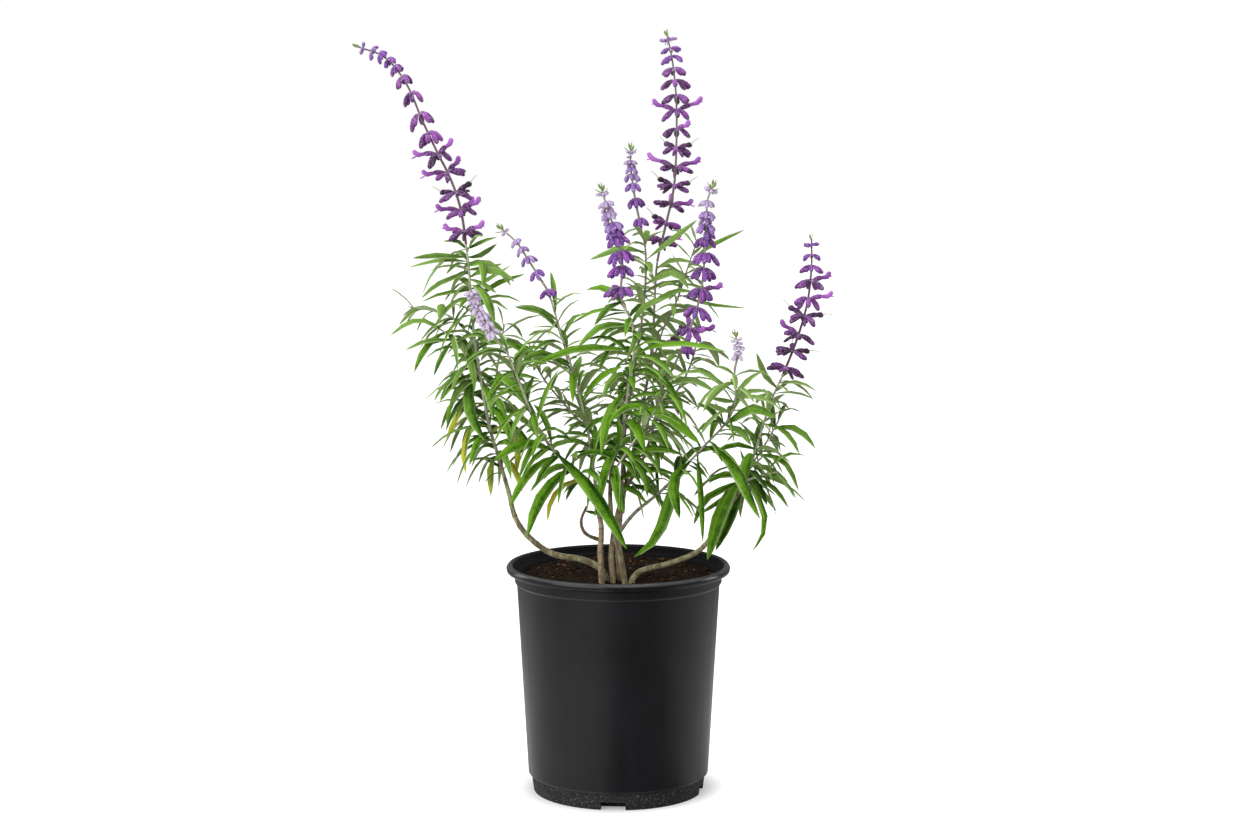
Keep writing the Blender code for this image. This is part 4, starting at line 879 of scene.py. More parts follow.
# Outlines: share of the length, share of the half-width
LEAF_OUTLINE = ((0.0, 0.24), (0.07, 0.28), (0.2, 0.7), (0.36, 0.96), (0.56, 1.0), (0.76, 0.78), (0.92, 0.4),
                (1.0, 0.06))
SMALL_OUTLINE = ((0.0, 0.26), (0.16, 0.64), (0.4, 1.0), (0.67, 0.86), (0.89, 0.42), (1.0, 0.05))
CALYX_OUTLINE = ((0.0, 0.26), (0.2, 0.46), (0.45, 0.78), (0.7, 0.92), (0.9, 0.74), (1.0, 0.36))
COROLLA_OUTLINE = ((0.0, 0.62), (0.3, 0.78), (0.6, 1.0), (0.86, 1.0), (1.0, 0.66))
LIP_OUTLINE = ((0.0, 0.45), (0.35, 0.85), (0.7, 1.0), (1.0, 0.55))
SMALL_LEAF = 40.0

# Small leaves that crowd each stem between the pairs
FILL_LENGTH = (16, 42)
FILL_LIFT = (0.2, 1.1)
FILL_DROOP = (1.6, 3.2)
FILL_SPACING = 8.0
FILL_SPREAD = 3.0

# Long drooping leaves that stand in tufts
TUFT_LIFT = (-0.1, 0.6)
TUFT_DROOP = (1.9, 3.0)


@dataclass
class StemLook:
    """How a leafy stem is finished: how many small leaves fill each spacing and how woolly its wood is.

    Wood without wool is purple-brown. A tuft is its shoot, where along it, how many leaves, and their
    least and greatest length. Pale is the wool that its upper leaves have more than others, and
    yellowing is the share of its low leaves that are turning yellow.
    """

    fill: float
    wool: float
    tufts: list
    pale: float = 0.0
    yellowing: float = 0.0


STEM_LOOKS = {
    "leafy_stem_far_left": StemLook(4.4, 0.95, [
        (0, (0.42, 0.74), 90, (34, 58)),
        (0, (0.74, 1.0), 90, (26, 50)),
        (1, (0.1, 1.0), 40, (24, 42)),
        (3, (0.1, 0.8), 24, (28, 46)),
        (4, (0.1, 1.0), 24, (28, 46)),
    ], yellowing=0.1),
    "leafy_stem_front_left": StemLook(3.6, 0.8, [(0, (0.35, 0.9), 40, (26, 46))]),
    "leafy_stem_front": StemLook(5.0, 0.9, [(0, (0.35, 0.95), 60, (28, 50))]),
    "leafy_stem_right": StemLook(3.8, 0.6, [
        (0, (0.4, 0.8), 30, (28, 46)),
        (1, (0.6, 1.0), 26, (24, 42)),
    ], pale=0.6),
    "leafy_stem_far_right": StemLook(3.6, 0.9, [
        (0, (0.56, 0.76), 44, (32, 56)),
        (2, (0.0, 0.9), 18, (28, 44)),
        (3, (0.0, 0.9), 18, (28, 44)),
    ], pale=0.6),
    "leafy_stem_back": StemLook(3.8, 0.35, [(1, (0.3, 0.7), 34, (28, 46))]),
}


@dataclass
class SpikeLook:
    """How a spike is finished.

    Wool is how woolly its youngest calyces are, how far below its tip they are ripe, and how woolly ripe
    ones are. More whorls fit in where it is crowded, from one distance below the tip to another. The open
    flowers of withered whorls are dry. Where whorls are grouped, the calyces lean so far, in radians,
    towards the left and the right.
    """

    wool: tuple
    bracts: int
    crowded: tuple = (0.0, 0.0)
    withered: tuple = ()
    grouped: float = 0.0
    slot: str = "flowers"


SPIKE_LOOKS = {
    "flower_spike_far_left": SpikeLook((0.6, 36.0, 0.1), 3, withered=(11,), grouped=0.3),
    "flower_spike_left": SpikeLook((0.9, 44.0, 0.3), 5),
    "flower_spike_young": SpikeLook((1.0, 160.0, 0.8), 3, crowded=(0.0, 40.0), slot="young_flowers"),
    "flower_spike_front": SpikeLook((0.95, 36.0, 0.3), 6, crowded=(8.0, 40.0)),
    "flower_spike_back_small": SpikeLook((0.85, 36.0, 0.25), 6, crowded=(0.0, 16.0)),
    "flower_spike_tall": SpikeLook((0.7, 26.0, 0.08), 3, withered=(8, 10, 12), grouped=0.35),
    "flower_spike_right": SpikeLook((1.0, 40.0, 0.28), 7, crowded=(16.0, 44.0), withered=(10,)),
    "flower_spike_far_right": SpikeLook((0.5, 22.0, 0.1), 2, withered=(5, 7), grouped=0.3),
    "flower_spike_bud": SpikeLook((1.0, 160.0, 0.8), 5, crowded=(0.0, 20.0), slot="young_flowers"),
}

# Wood: rings at its joints, and how far a stem goes on below the soil's surface
WOOD_STEP = 1.5
RING_SPACING = 9.0
RING_WIDTH = 1.1
RING_SWELL = 0.1
NO_RINGS = 1000.0
BELOW_SOIL = 8.0
# Young wood grows slimmer by this share over this height; a main shoot's bark is old, a branch's is not
YOUNG_SLIM = 0.3
SLIM_FROM = 190.0
SLIM_OVER = 60.0
YOUNG_BARK = 0.2
# A shoot that is bare along more than this share is a dry twig, darker and thicker than planned
TWIG_BARE = 0.8
TWIG_TONE = -1.0
TWIG_BULK = 1.4

# A leaf is twisted along its length, and a small one is also rolled about its midrib and a little wider
LEAF_TWIST = 0.5
SMALL_ROLL = 0.6
SMALL_LEAF_WIDTH = 1.05
# No small leaf reaches further forward than this
FRONTMOST = -94.0

# A leaf's wool: the least, what its height and its place at the rear add, and what a long leaf lacks
LEAST_WOOL = 0.14
HIGH_WOOL = 0.5
REAR_WOOL = 0.4
LONG_LOSS = 0.4
WOOL_SPREAD = 0.28
# Where a leaf starts to count as high, rear or long, and the distance over which it grows so
HIGH = (POT_HEIGHT, 240.0)
REAR = (-20.0, 60.0)
LONGER = (30.0, 30.0)
PALE_ABOVE = 285.0
# Its green: how light the darkest long leaf is, how far leaves differ, and how light the lowest stay
LONG_TONE = 0.35
TONE_SPREAD = 0.5
LOW_TONE = 0.75
# Tips of the leaves that are turning yellow, and how far each has turned; some other low ones do too
YELLOW_TIPS = (
    ((-93, -14, 222), 0.35),
    ((-75, -16, 235), 0.6),
    ((-111, -16, 239), 0.75),
    ((-125, -14, 262), 0.5),
    ((-51, -44, 209), 0.8),
)
YELLOW_NEAR = 8.0
YELLOW_BELOW = 270.0
YELLOW_SOME = (0.2, 0.6)

# Bracts at a spike's tip: each value of the first, and what every further one adds to it
GOLDEN_TURN = 2.4
BRACT_LENGTH = (4.6, 0.5)
BRACT_SPREAD = (0.2, 0.26)
BRACT_BELOW = (0.4, 0.8)
BRACT_TILT = 0.2
BRACT_CURL = 0.4
BRACT_WIDTH = 2.1
BRACT_WOOL = 0.8

# Open flowers: shares of their line where the calyx ends, the corolla begins and its lip hangs
CALYX_END = 0.56
COROLLA_START = 0.42
COROLLA_HEADING = 0.8
LIP_AT = 0.84
COROLLA_RADIUS = 1.95
HOOD_FROM = 0.55
HOOD_OVER = 0.45
HOOD_RISE = 1.0
# How far out and how far down the lower lip's points lie
LIP_POINTS = ((0.0, 0.8), (2.4, 1.4), (4.2, 2.6))
LIP_WIDTH = 1.7
# Withered ones: where the corolla ends, how dark it and its calyx are, and the style that stays
DRY_END = 0.7
DRY_RADIUS = 2.3
DRY_AGED = (0.7, 1.0)
DRY_CALYX = 0.7
STYLE_LENGTH = 8.0
STYLE_DIP = 0.6
STYLE_RADII = [0.35, 0.3, 0.2]

# Share of the calyces that stand between the planned ones: as a rule, where loose and where crowded
BETWEEN_KEEP = 0.75
LOOSE_KEEP = 0.6
CROWDED_KEEP = 0.6
BETWEEN_STEEP = 1.6
GROUP_SIDE = 0.45
# How far a calyx is turned at random, in radians, and how its size varies
JOLT = 0.12
CROWDED_JOLT = 0.24
CROWDED_SIZE = 0.86
CALYX_SPREAD = 0.16
YOUTH_CURVE = 0.7
CALYX_WOOL_SPREAD = 0.1
DARK_CALYCES = 0.25
DARK_AGED = (0.2, 0.8)
# Stray calyces and hairs about a whorl
STRAY_FINGERS = 5
STRAY_RISE = (-0.75, 0.2)
STRAY_LENGTH = (6.0, 12.0)
STRAY_RADIUS = 1.45
STRAY_SAG = 0.15
STRAY_AGED = (0.0, 0.8)
HAIRS = 7
HAIR_LENGTH = (2.0, 4.4)
HAIR_RADIUS = 0.42


@dataclass
class Strand:
    """A line of places in millimetres that the growth tree clothes, and what its finish needs."""

    kind: int
    places: list
    breadths: list
    facings: list
    tone: float = 0.5
    aged: float = 0.0
    woolly: float = 0.0
    rings: list = None


def small_blades(owner, lines, room):
    """The tufts of a stem and the small leaves that crowd it, each clear of the other pieces."""
    blades = []
    draw = random.Random(f"{owner} small")
    for shoot, reach, count, lengths in STEM_LOOKS[owner].tufts:
        stem = lines[shoot]
        for _ in range(count):
            blades += grown(owner, stem, stem.length * draw.uniform(*reach), draw.uniform(0, math.tau),
                            draw.uniform(*lengths), draw, room, TUFT_LIFT, TUFT_DROOP)
    for shoot, stem in zip(STEMS[owner], lines):
        distance = stem.length * shoot.bare
        while distance < stem.length - BARE_TIP:
            for _ in range(int(STEM_LOOKS[owner].fill + draw.random())):
                blades += grown(owner, stem, distance + draw.uniform(-FILL_SPREAD, FILL_SPREAD),
                                draw.uniform(0, math.tau), draw.uniform(*FILL_LENGTH), draw, room,
                                FILL_LIFT, FILL_DROOP)
            distance += FILL_SPACING
    return blades


def blade_strand(blade, draw, roll=0.0, **nature):
    """A leaf with its full outline, turned a little about its midrib and slightly twisted along it."""
    twist = draw.uniform(-LEAF_TWIST, LEAF_TWIST)
    places, breadths, facings = [], [], []
    for share, part in SMALL_OUTLINE if blade.rib.length < SMALL_LEAF else LEAF_OUTLINE:
        distance = share * blade.rib.length
        heading = blade.rib.heading(distance)
        top = across(heading, blade.face)
        places.append(blade.rib.at(distance))
        breadths.append(blade.width / 2 * part)
        facings.append(turned(top, top.cross(heading), roll + twist * share))
    return Strand(BLADE, places, breadths, facings, **nature)


def finger_strand(kind, line, radius, outline, start=0.0, end=1.0, **nature):
    """A round finger over part of a line."""
    places = [line.at(line.length * (start + (end - start) * share)) for share, _ in outline]
    return Strand(kind, places, [radius * part for _, part in outline], [UP] * len(places), **nature)


def wood_strand(line, thick, below=0.0, spacing=RING_SPACING, slim=0.0, **nature):
    """A tapered stem with a slight swelling and a dark ring at each of its joints, slimmer above if slim."""
    places, breadths, rings = [], [], []
    if below:
        line = Line([line.points[0] - UP * below] + line.points, 1)
    count = max(3, round(line.length / WOOD_STEP))
    for k in range(count + 1):
        distance = line.length * k / count
        ring = math.exp(-((distance % spacing - spacing / 2) / RING_WIDTH) ** 2)
        places.append(line.at(distance))
        leaner = 1 - slim * graded(places[-1].z, SLIM_FROM, SLIM_OVER)
        breadths.append((thick[0] + (thick[1] - thick[0]) * k / count) / 2 * (1 + RING_SWELL * ring) * leaner)
        rings.append(ring)
    return Strand(WOOD, places, breadths, [UP] * len(places), rings=rings, **nature)


def leaf_nature(look, blade, draw):
    """How woolly and how yellow a leaf is: the upper and rear ones are greyer, some low ones yellow."""
    root, tip = blade.rib.points[0], blade.rib.points[-1]
    height, rear, length = graded(root.z, *HIGH), graded(root.y, *REAR), graded(blade.rib.length, *LONGER)
    pale = look.pale if root.z > PALE_ABOVE else 0.0
    woolly = clamp(LEAST_WOOL + HIGH_WOOL * height + REAR_WOOL * rear + pale - LONG_LOSS * length
                   + draw.uniform(-WOOL_SPREAD, WOOL_SPREAD))
    aged = [amount for place, amount in YELLOW_TIPS if (Vector(place) - tip).length < YELLOW_NEAR]
    if look.yellowing and root.z < YELLOW_BELOW and draw.random() < look.yellowing:
        aged.append(draw.uniform(*YELLOW_SOME))
    least = LONG_TONE if length > 0 else 0.0
    tone = draw.uniform(least, least + TONE_SPREAD) * (LOW_TONE + (1 - LOW_TONE) * height)
    return {"woolly": woolly, "aged": max(aged, default=0.0), "tone": tone}


def stem_strands(owner):
    """The wood and leaves of one leafy stem."""
    lines, blades, _, small = planned()
    draw, look = random.Random(f"{owner} looks"), STEM_LOOKS[owner]
    strands = []
    for number, (shoot, line) in enumerate(zip(STEMS[owner], lines[owner])):
        twig = shoot.bare > TWIG_BARE
        tone, thick = draw.random(), shoot.thick
        if twig:
            tone, thick = TWIG_TONE, [part * TWIG_BULK for part in shoot.thick]
        strands.append(wood_strand(line, thick, 0.0 if number else BELOW_SOIL, slim=YOUNG_SLIM, tone=tone,
                                   aged=1.0 if twig or number == 0 else YOUNG_BARK, woolly=look.wool))
    for blade in blades[owner]:
        strands.append(blade_strand(blade, draw, **leaf_nature(look, blade, draw)))
    for blade in small[owner]:
        if blade.rib.points[-1].y >= FRONTMOST:
            blade.width *= SMALL_LEAF_WIDTH
            strands.append(blade_strand(blade, draw, draw.uniform(-SMALL_ROLL, SMALL_ROLL),
                                        **leaf_nature(look, blade, draw)))
    return strands


def bloom_strands(flower, dry, draw):
    """An open flower: its calyx, its corolla with a raised hood, and its lower lip, or its style once dry."""
    aged = draw.uniform(*DRY_AGED) if dry else 0.0
    line = flower.line
    sepals = finger_strand(CALYX, line, flower.radius, CALYX_OUTLINE, 0.0, CALYX_END, aged=aged * DRY_CALYX,
                           tone=draw.random())
    hood = finger_strand(COROLLA, line, DRY_RADIUS if dry else COROLLA_RADIUS, COROLLA_OUTLINE, COROLLA_START,
                         DRY_END if dry else 1.0, aged=aged, tone=draw.random())
    for k, (share, _) in enumerate(COROLLA_OUTLINE):
        hood.places[k] = hood.places[k] + UP * HOOD_RISE * graded(share, HOOD_FROM, HOOD_OVER) ** 2
    way = line.heading(line.length * COROLLA_HEADING)
    if dry:
        tip = hood.places[-1]
        places = [tip, tip + way * STYLE_LENGTH / 2, tip + way * STYLE_LENGTH - UP * STYLE_DIP]
        last = Strand(WOOD, places, STYLE_RADII, [UP] * 3, woolly=1.0)
    else:
        root = line.at(line.length * LIP_AT)
        lip = Line([root + way * out - UP * down for out, down in LIP_POINTS], 4)
        last = finger_strand(LIP, lip, LIP_WIDTH, LIP_OUTLINE, tone=draw.random())
        last.facings = [UP + way] * len(last.places)
    return [sepals, hood, last]


def jolted(flower, most, draw, size=1.0):
    """A flower's line, turned by a random angle about its root and drawn a little longer or shorter."""
    root = flower.line.points[0]
    turn = Quaternion(Vector([draw.uniform(-1, 1) for _ in range(3)]).normalized(), draw.uniform(-most, most))
    size *= draw.uniform(1 - CALYX_SPREAD, 1 + CALYX_SPREAD)
    return Line([root + turn @ (point - root) * size for point in flower.line.points], 1)


def whorl_calyces(name, axis, flowers, draw):
    """The calyces of a spike that the plan gives, and those that stand between them.

    Each comes as its line, its radius and how far it stands below the tip.
    """
    spike, look = SPIKES[name], SPIKE_LOOKS[name]
    paired = look.grouped or PAIRED
    start, end = look.crowded
    between = [(above + below) / 2 for above, below in zip(spike.whorls, spike.whorls[1:])
               if start <= above and below <= end]
    crowded = replace(spike, whorls=between)
    calyces = []
    for flower in flowers:
        if flower.kind == "calyx":
            flower = calyx(spike, axis, flower.whorl, flower.side, paired=paired)
            calyces.append((jolted(flower, JOLT, draw), flower.radius, spike.whorls[flower.whorl]))
    half_turn = math.pi / spike.sides
    for spray, turn in ((spike, half_turn), (crowded, 0.0), (crowded, half_turn)):
        most, size = (CROWDED_JOLT, CROWDED_SIZE) if spray is crowded else (2 * JOLT, 1.0)
        for number, below_tip in enumerate(spray.whorls):
            keep = LOOSE_KEEP if below_tip > spike.loose else BETWEEN_KEEP
            for side in range(spike.sides):
                flower = calyx(spray, axis, number, side, turn, BETWEEN_STEEP if turn else 1.0, paired)
                way = flower.line.points[-1] - flower.line.points[0]
                aside = not look.grouped or abs(way.x) > GROUP_SIDE * math.hypot(way.x, way.y)
                if aside and draw.random() < (CROWDED_KEEP if spray is crowded else keep):
                    calyces.append((jolted(flower, most, draw, size), flower.radius * size, below_tip))
    return calyces


def stray_strands(spike, axis, draw):
    """What makes a whorl untidy: pale hairs at its middle and, where it has grown loose, stray calyces."""
    strands = []
    for below_tip in spike.whorls:
        place, heading, first, second = axis_frame(axis, axis.length - below_tip)
        strays = STRAY_FINGERS if below_tip > spike.loose else 0
        for number in range(strays + HAIRS):
            out = turned(first, second, draw.uniform(0, math.tau))
            way = (out + heading * draw.uniform(*STRAY_RISE)).normalized()
            stray = number < strays
            reach = draw.uniform(*(STRAY_LENGTH if stray else HAIR_LENGTH)) * spike.calyx
            line = Line([place, place + way * reach / 2, place + way * reach - UP * reach * STRAY_SAG], 3)
            radius = STRAY_RADIUS * spike.calyx if stray else HAIR_RADIUS
            strands.append(finger_strand(CALYX, line, radius, CALYX_OUTLINE, tone=draw.random(),
                                         woolly=0.0 if stray else 1.0,
                                         aged=draw.uniform(*STRAY_AGED) if stray else 0.0))
    return strands


def spike_strands(name):
    """The axis, calyces, open flowers and tip bracts of one flower spike."""
    spike, look = SPIKES[name], SPIKE_LOOKS[name]
    flowers = planned()[2][name]
    draw = random.Random(f"{name} looks")
    axis = spike_line(spike)
    wool, reach, ripe_wool = look.wool
    thick = (min(STEMS[spike.stem][spike.shoot].thick[1], SPIKE_THICK[0]), SPIKE_THICK[1])
    strands = [wood_strand(axis, thick, spacing=NO_RINGS, woolly=wool - 0.5, tone=draw.random())]
    for line, radius, below_tip in whorl_calyces(name, axis, flowers, draw):
        tone = draw.random()
        young_wool = (wool - ripe_wool) * clamp(1 - below_tip / reach) ** YOUTH_CURVE
        woolly = clamp(ripe_wool + young_wool + draw.uniform(-CALYX_WOOL_SPREAD, CALYX_WOOL_SPREAD))
        dark = below_tip > spike.loose and draw.random() < DARK_CALYCES
        strands.append(finger_strand(CALYX, line, radius, CALYX_OUTLINE, tone=tone, woolly=woolly,
                                     aged=draw.uniform(*DARK_AGED) if dark else 0.0))
    for flower in flowers:
        if flower.kind == "bloom":
            strands += bloom_strands(flower, flower.whorl in look.withered, draw)
    return strands + stray_strands(spike, axis, draw) + tip_strands(axis, look.bracts, draw)


def tip_strands(axis, count, draw):
    """The pointed bracts at a spike's tip: the first close round the bud, the last spread wide."""
    tip, heading = axis.points[-1], axis.heading(axis.length)
    strands = []
    for k in range(count):
        spread, below, reach = (first + step * k for first, step in (BRACT_SPREAD, BRACT_BELOW, BRACT_LENGTH))
        side = across(heading, turned(EAST, NORTH, k * GOLDEN_TURN) + UP * BRACT_TILT)
        way = (heading + side * spread).normalized()
        root = tip - heading * below
        rib = Line([root, root + way * reach / 2, root + way * reach - side * BRACT_CURL])
        strands.append(blade_strand(Blade(rib, BRACT_WIDTH, heading - side), draw, woolly=BRACT_WOOL,
                                    tone=draw.random()))
    return strands


def strand_mesh(name, strands):
    """The strands as a mesh of points and edges that carry what the growth tree and finishes read."""
    mesh = bpy.data.meshes.new(name)
    places, edges, facings = [], [], []
    numbers = {title: [] for title in ("kind", "breadth", "along", "tone", "aged", "woolly", "ring")}
    for strand in strands:
        count = len(strand.places)
        edges += [(k, k + 1) for k in range(len(places), len(places) + count - 1)]
        places += [place * MM for place in strand.places]
        facings += [value for facing in strand.facings for value in facing.normalized()]
        numbers["breadth"] += [breadth * MM for breadth in strand.breadths]
        numbers["along"] += [k / (count - 1) for k in range(count)]
        numbers["ring"] += strand.rings or [0.0] * count
        for title in ("kind", "tone", "aged", "woolly"):
            numbers[title] += [float(getattr(strand, title))] * count
    mesh.from_pydata(places, edges, [])
    for title, values in numbers.items():
        mesh.attributes.new(title, "FLOAT", "POINT").data.foreach_set("value", values)
    mesh.attributes.new("facing", "FLOAT_VECTOR", "POINT").data.foreach_set("vector", facings)
    return mesh


# Where the finish of the pot changes, with its painted shade inside and its painted highlight on the lip:
# from the first place to the second, in millimetres
FOOT_WEAR = (FOOT_HEIGHT - 0.2, FOOT_HEIGHT - 1.8)
RIM_GLOSS = (POT_HEIGHT - 7.5, POT_HEIGHT - 4.0)
# These three bound the painted shade that turns the inside of the pot near black.
LEDGE_RISE = (LEDGE_HEIGHT - 0.4, LEDGE_HEIGHT)
INNER_RADIUS = (COLLAR_RADIUS - 0.4, COLLAR_RADIUS - 1.0)
INNER_RISE = (COLLAR_BOTTOM + 0.3, COLLAR_BOTTOM + 0.7)
# These two bound the painted highlight along the edge of the rim's lip.
RIM_HIGHLIGHT_RISE = (POT_HEIGHT - 2.5, POT_HEIGHT - 0.7)
RIM_HIGHLIGHT_RADIUS = (RIM_RADIUS - 2.8, RIM_RADIUS - 1.7)
# Lighter lines along its two steps, the collar's a painted highlight: height and half-width, and the
# half-width where they are strongest
FOOT_STEP = (FOOT_HEIGHT + 0.2, 1.3)
COLLAR_HIGHLIGHT = (COLLAR_BOTTOM + 0.4, 0.9)
STEP_CORE = 0.3
LEDGE_WIDTH = 2.5
# Old bark gives way to green over these heights
BARK_FADES = (165, 300)
WHITE, BLACK = (1.0, 1.0, 1.0), (0.0, 0.0, 0.0)


class Value:
    """A node's output. Arithmetic on it adds Math nodes to the same tree."""

    def __init__(self, nodes, node, out=0):
        self.nodes = nodes
        self.node = node
        self.socket = node.outputs[out] if len(node.outputs) else None

    def out(self, name):
        return Value(self.nodes, self.node, name)

    def math(self, operation, *others):
        return self.nodes.add("ShaderNodeMath", {"operation": operation}, dict(enumerate((self, *others))))

    def __add__(self, other):
        return self.math("ADD", other)

    def __sub__(self, other):
        return self.math("SUBTRACT", other)

    def __mul__(self, other):
        return self.math("MULTIPLY", other)

    def __rsub__(self, other):
        return self * -1 + other

    def __abs__(self):
        return self.math("ABSOLUTE")

    __radd__ = __add__
    __rmul__ = __mul__


class Nodes:
    """Adds nodes to a tree. One method makes every node."""

    def __init__(self, tree):
        self.tree = tree

    def add(self, kind, settings=None, values=None, out=0):
        node = self.tree.nodes.new(kind)
        for name, value in (settings or {}).items():
            setattr(node, name, value)
        for name, value in (values or {}).items():
            for item in value if isinstance(value, list) else [value]:
                if isinstance(item, Value):
                    self.tree.links.new(item.socket, node.inputs[name])
                else:
                    node.inputs[name].default_value = item
        return Value(self, node, out)

    def between(self, value, low, high, to_low=0.0, to_high=1.0):
        """Rises smoothly from one number to another while the value goes from low to high."""
        return self.add("ShaderNodeMapRange", {"interpolation_type": "SMOOTHSTEP"},
                        {0: value, 1: low, 2: high, 3: to_low, 4: to_high})

    def past(self, length, start, end):
        """Rises smoothly from 0 to 1 while a length goes from one place to another in millimetres."""
        return self.between(length, start * MM, end * MM)

    def mix(self, share, first, second):
        """A colour between two colours."""
        pair = [colour if isinstance(colour, Value) else (*colour, 1) for colour in (first, second)]
        return self.add("ShaderNodeMix", {"data_type": "RGBA"}, {0: share, 6: pair[0], 7: pair[1]}, out=2)

    def coats(self, colour, *coats):
        """A colour under coats, each given as its share and its own colour."""
        for share, coat in coats:
            colour = self.mix(share, colour, coat)
        return colour

    def attributes(self, *names):
        settings = [{"attribute_type": "GEOMETRY", "attribute_name": name} for name in names]
        return [self.add("ShaderNodeAttribute", each, out="Fac") for each in settings]

    def place(self):
        return self.add("ShaderNodeTexCoord", out="Object")

    def split(self, vector):
        """The X, Y and Z of a vector."""
        node = self.add("ShaderNodeSeparateXYZ", None, {0: vector})
        return [node.out(axis) for axis in "XYZ"]

    def grain(self, scale, detail=2.0, stretch=(1, 1, 1), distort=0.0):
        """Noise on the object's own coordinates, at so many waves a metre."""
        spot = self.add("ShaderNodeVectorMath", {"operation": "MULTIPLY"}, {0: self.place(), 1: stretch})
        return self.add("ShaderNodeTexNoise", None,
                        {"Vector": spot, "Scale": scale, "Detail": detail, "Distortion": distort})

    def bump(self, height, strength, depth):
        return self.add("ShaderNodeBump", None, {"Height": height, "Strength": strength, "Distance": depth})


def new_look(name, **fixed):
    """A material with a Principled shader, its fixed values set, and the builder of its nodes."""
    look = bpy.data.materials.new(name)
    look.use_nodes = True
    shader = look.node_tree.nodes["Principled BSDF"]
    for title, value in fixed.items():
        shader.inputs[title.replace("_", " ")].default_value = value
    return look, Nodes(look.node_tree), shader


def from_axis(x, y):
    """How far a place lies from the object's Z axis."""
    return (x.math("POWER", 2.0) + y.math("POWER", 2.0)).math("SQRT")


def feed(nodes, shader, **values):
    """Links values to the sockets of a shader."""
    for title, value in values.items():
        nodes.tree.links.new(value.socket, shader.inputs[title.replace("_", " ")])


def leaf_look(sage):
    """Green above with a pale midrib and rim, greyer where woolly, and pale below; darker towards each leaf's
    root as painted shade, and lighter on one side of the midrib than the other as painted light and shade.
    """
    look, nodes, shader = new_look("sage leaf", Specular_IOR_Level=0.06)
    side, under, along = nodes.attributes("edge", "under", "along")
    tone, aged, woolly = nodes.attributes("tone", "aged", "woolly")
    patch, fuzz, edge = nodes.grain(90) - 0.5, nodes.grain(1500, 3), abs(side)
    # Painted shade: darker green towards each leaf's root, where the leaves crowd, with less grey wool there.
    root_shade = nodes.between(along, 0.42, 0.0)
    # Random mottle, and one side of the midrib lighter than the other as painted light and shade on the
    # folded blade.
    mottle_and_side_shade = patch * 0.9 + (nodes.grain(480, 3) - 0.5) * 0.7 + nodes.between(side, -0.2, 0.2) * 0.3
    shade = nodes.between(tone + mottle_and_side_shade - root_shade * 0.35, 0.1, 1.0)
    fur_and_root_shade = nodes.between(woolly + patch * 0.5 - root_shade * 0.25, 0.1, 1.0)
    yellow = nodes.between(aged + patch * 0.5 + along * 0.25, 0.25, 0.85)
    midrib = 1 - nodes.between(edge, 0.0, 0.12)
    rim = nodes.between(edge, 0.62, 1.0) * (woolly * 0.55 + 0.4)
    top = nodes.coats(nodes.mix(shade, sage.leaf_deep_and_shade, sage.leaf_bright), (fur_and_root_shade * 0.85, sage.leaf_grey),
                      (yellow, sage.leaf_aged), (midrib * (woolly * 0.35 + 0.12), sage.leaf_rib),
                      (rim, sage.leaf_under))
    below = nodes.mix(fuzz * 0.5 + aged * 0.3, sage.leaf_under, sage.leaf_grey)
    veins = (along * 150 + edge * 9).math("SINE") * nodes.between(edge, 0.1, 0.3)
    relief = veins * 0.25 + fuzz * (woolly * 0.6 + 0.35) - midrib * 0.8
    feed(nodes, shader, Base_Color=nodes.mix(nodes.between(under, 0.42, 0.62), top, below),
         Roughness=woolly * 0.25 + under * 0.15 + 0.45, Normal=nodes.bump(relief, 0.5, 0.0004))
    return look


def stem_look(sage):
    """Furrowed, flaky bark near the soil, and woolly or purple young wood above it."""
    look, nodes, shader = new_look("sage stem", Specular_IOR_Level=0.25, Sheen_Weight=0.25,
                                   Sheen_Roughness=0.5)
    aged, woolly, ring, tone = nodes.attributes("aged", "woolly", "ring", "tone")
    fuzz, patch, flake = nodes.grain(1400, 3), nodes.grain(160, 3), nodes.grain(300, 4, (1, 1, 0.4))
    bark = nodes.grain(420, 4, (1, 1, 0.16), 0.6)
    young = nodes.coats(nodes.mix(woolly, sage.axis_purple, sage.stem_woolly),
                        (fuzz * woolly * 0.5, sage.leaf_under),
                        (nodes.between(patch, 0.54, 0.66) * 0.35, sage.bark_pale))
    ridge = nodes.mix(nodes.between(woolly, 0.82, 0.92), sage.bark_pale, sage.bark_olive)
    old = nodes.coats(nodes.mix(nodes.between(bark + (tone - 0.5) * 0.2, 0.3, 0.58), sage.bark_dark, ridge),
                      (nodes.between(flake, 0.5, 0.6) * 0.6, sage.bark_dark),
                      (nodes.between(flake, 0.42, 0.34) * 0.5, sage.leaf_under))
    low = 1 - nodes.past(nodes.split(nodes.place())[2], *BARK_FADES)
    colour = nodes.mix(nodes.between(aged * low + (patch - 0.5) * 0.4, 0.15, 0.5), young, old)
    colour = nodes.mix(ring * nodes.between(patch, 0.3, 0.6) * 0.75, colour, sage.bark_dark)
    feed(nodes, shader, Base_Color=colour, Roughness=fuzz * 0.2 + 0.65,
         Normal=nodes.bump(bark * aged + fuzz * 0.4, 0.6, 0.0005))
    return look


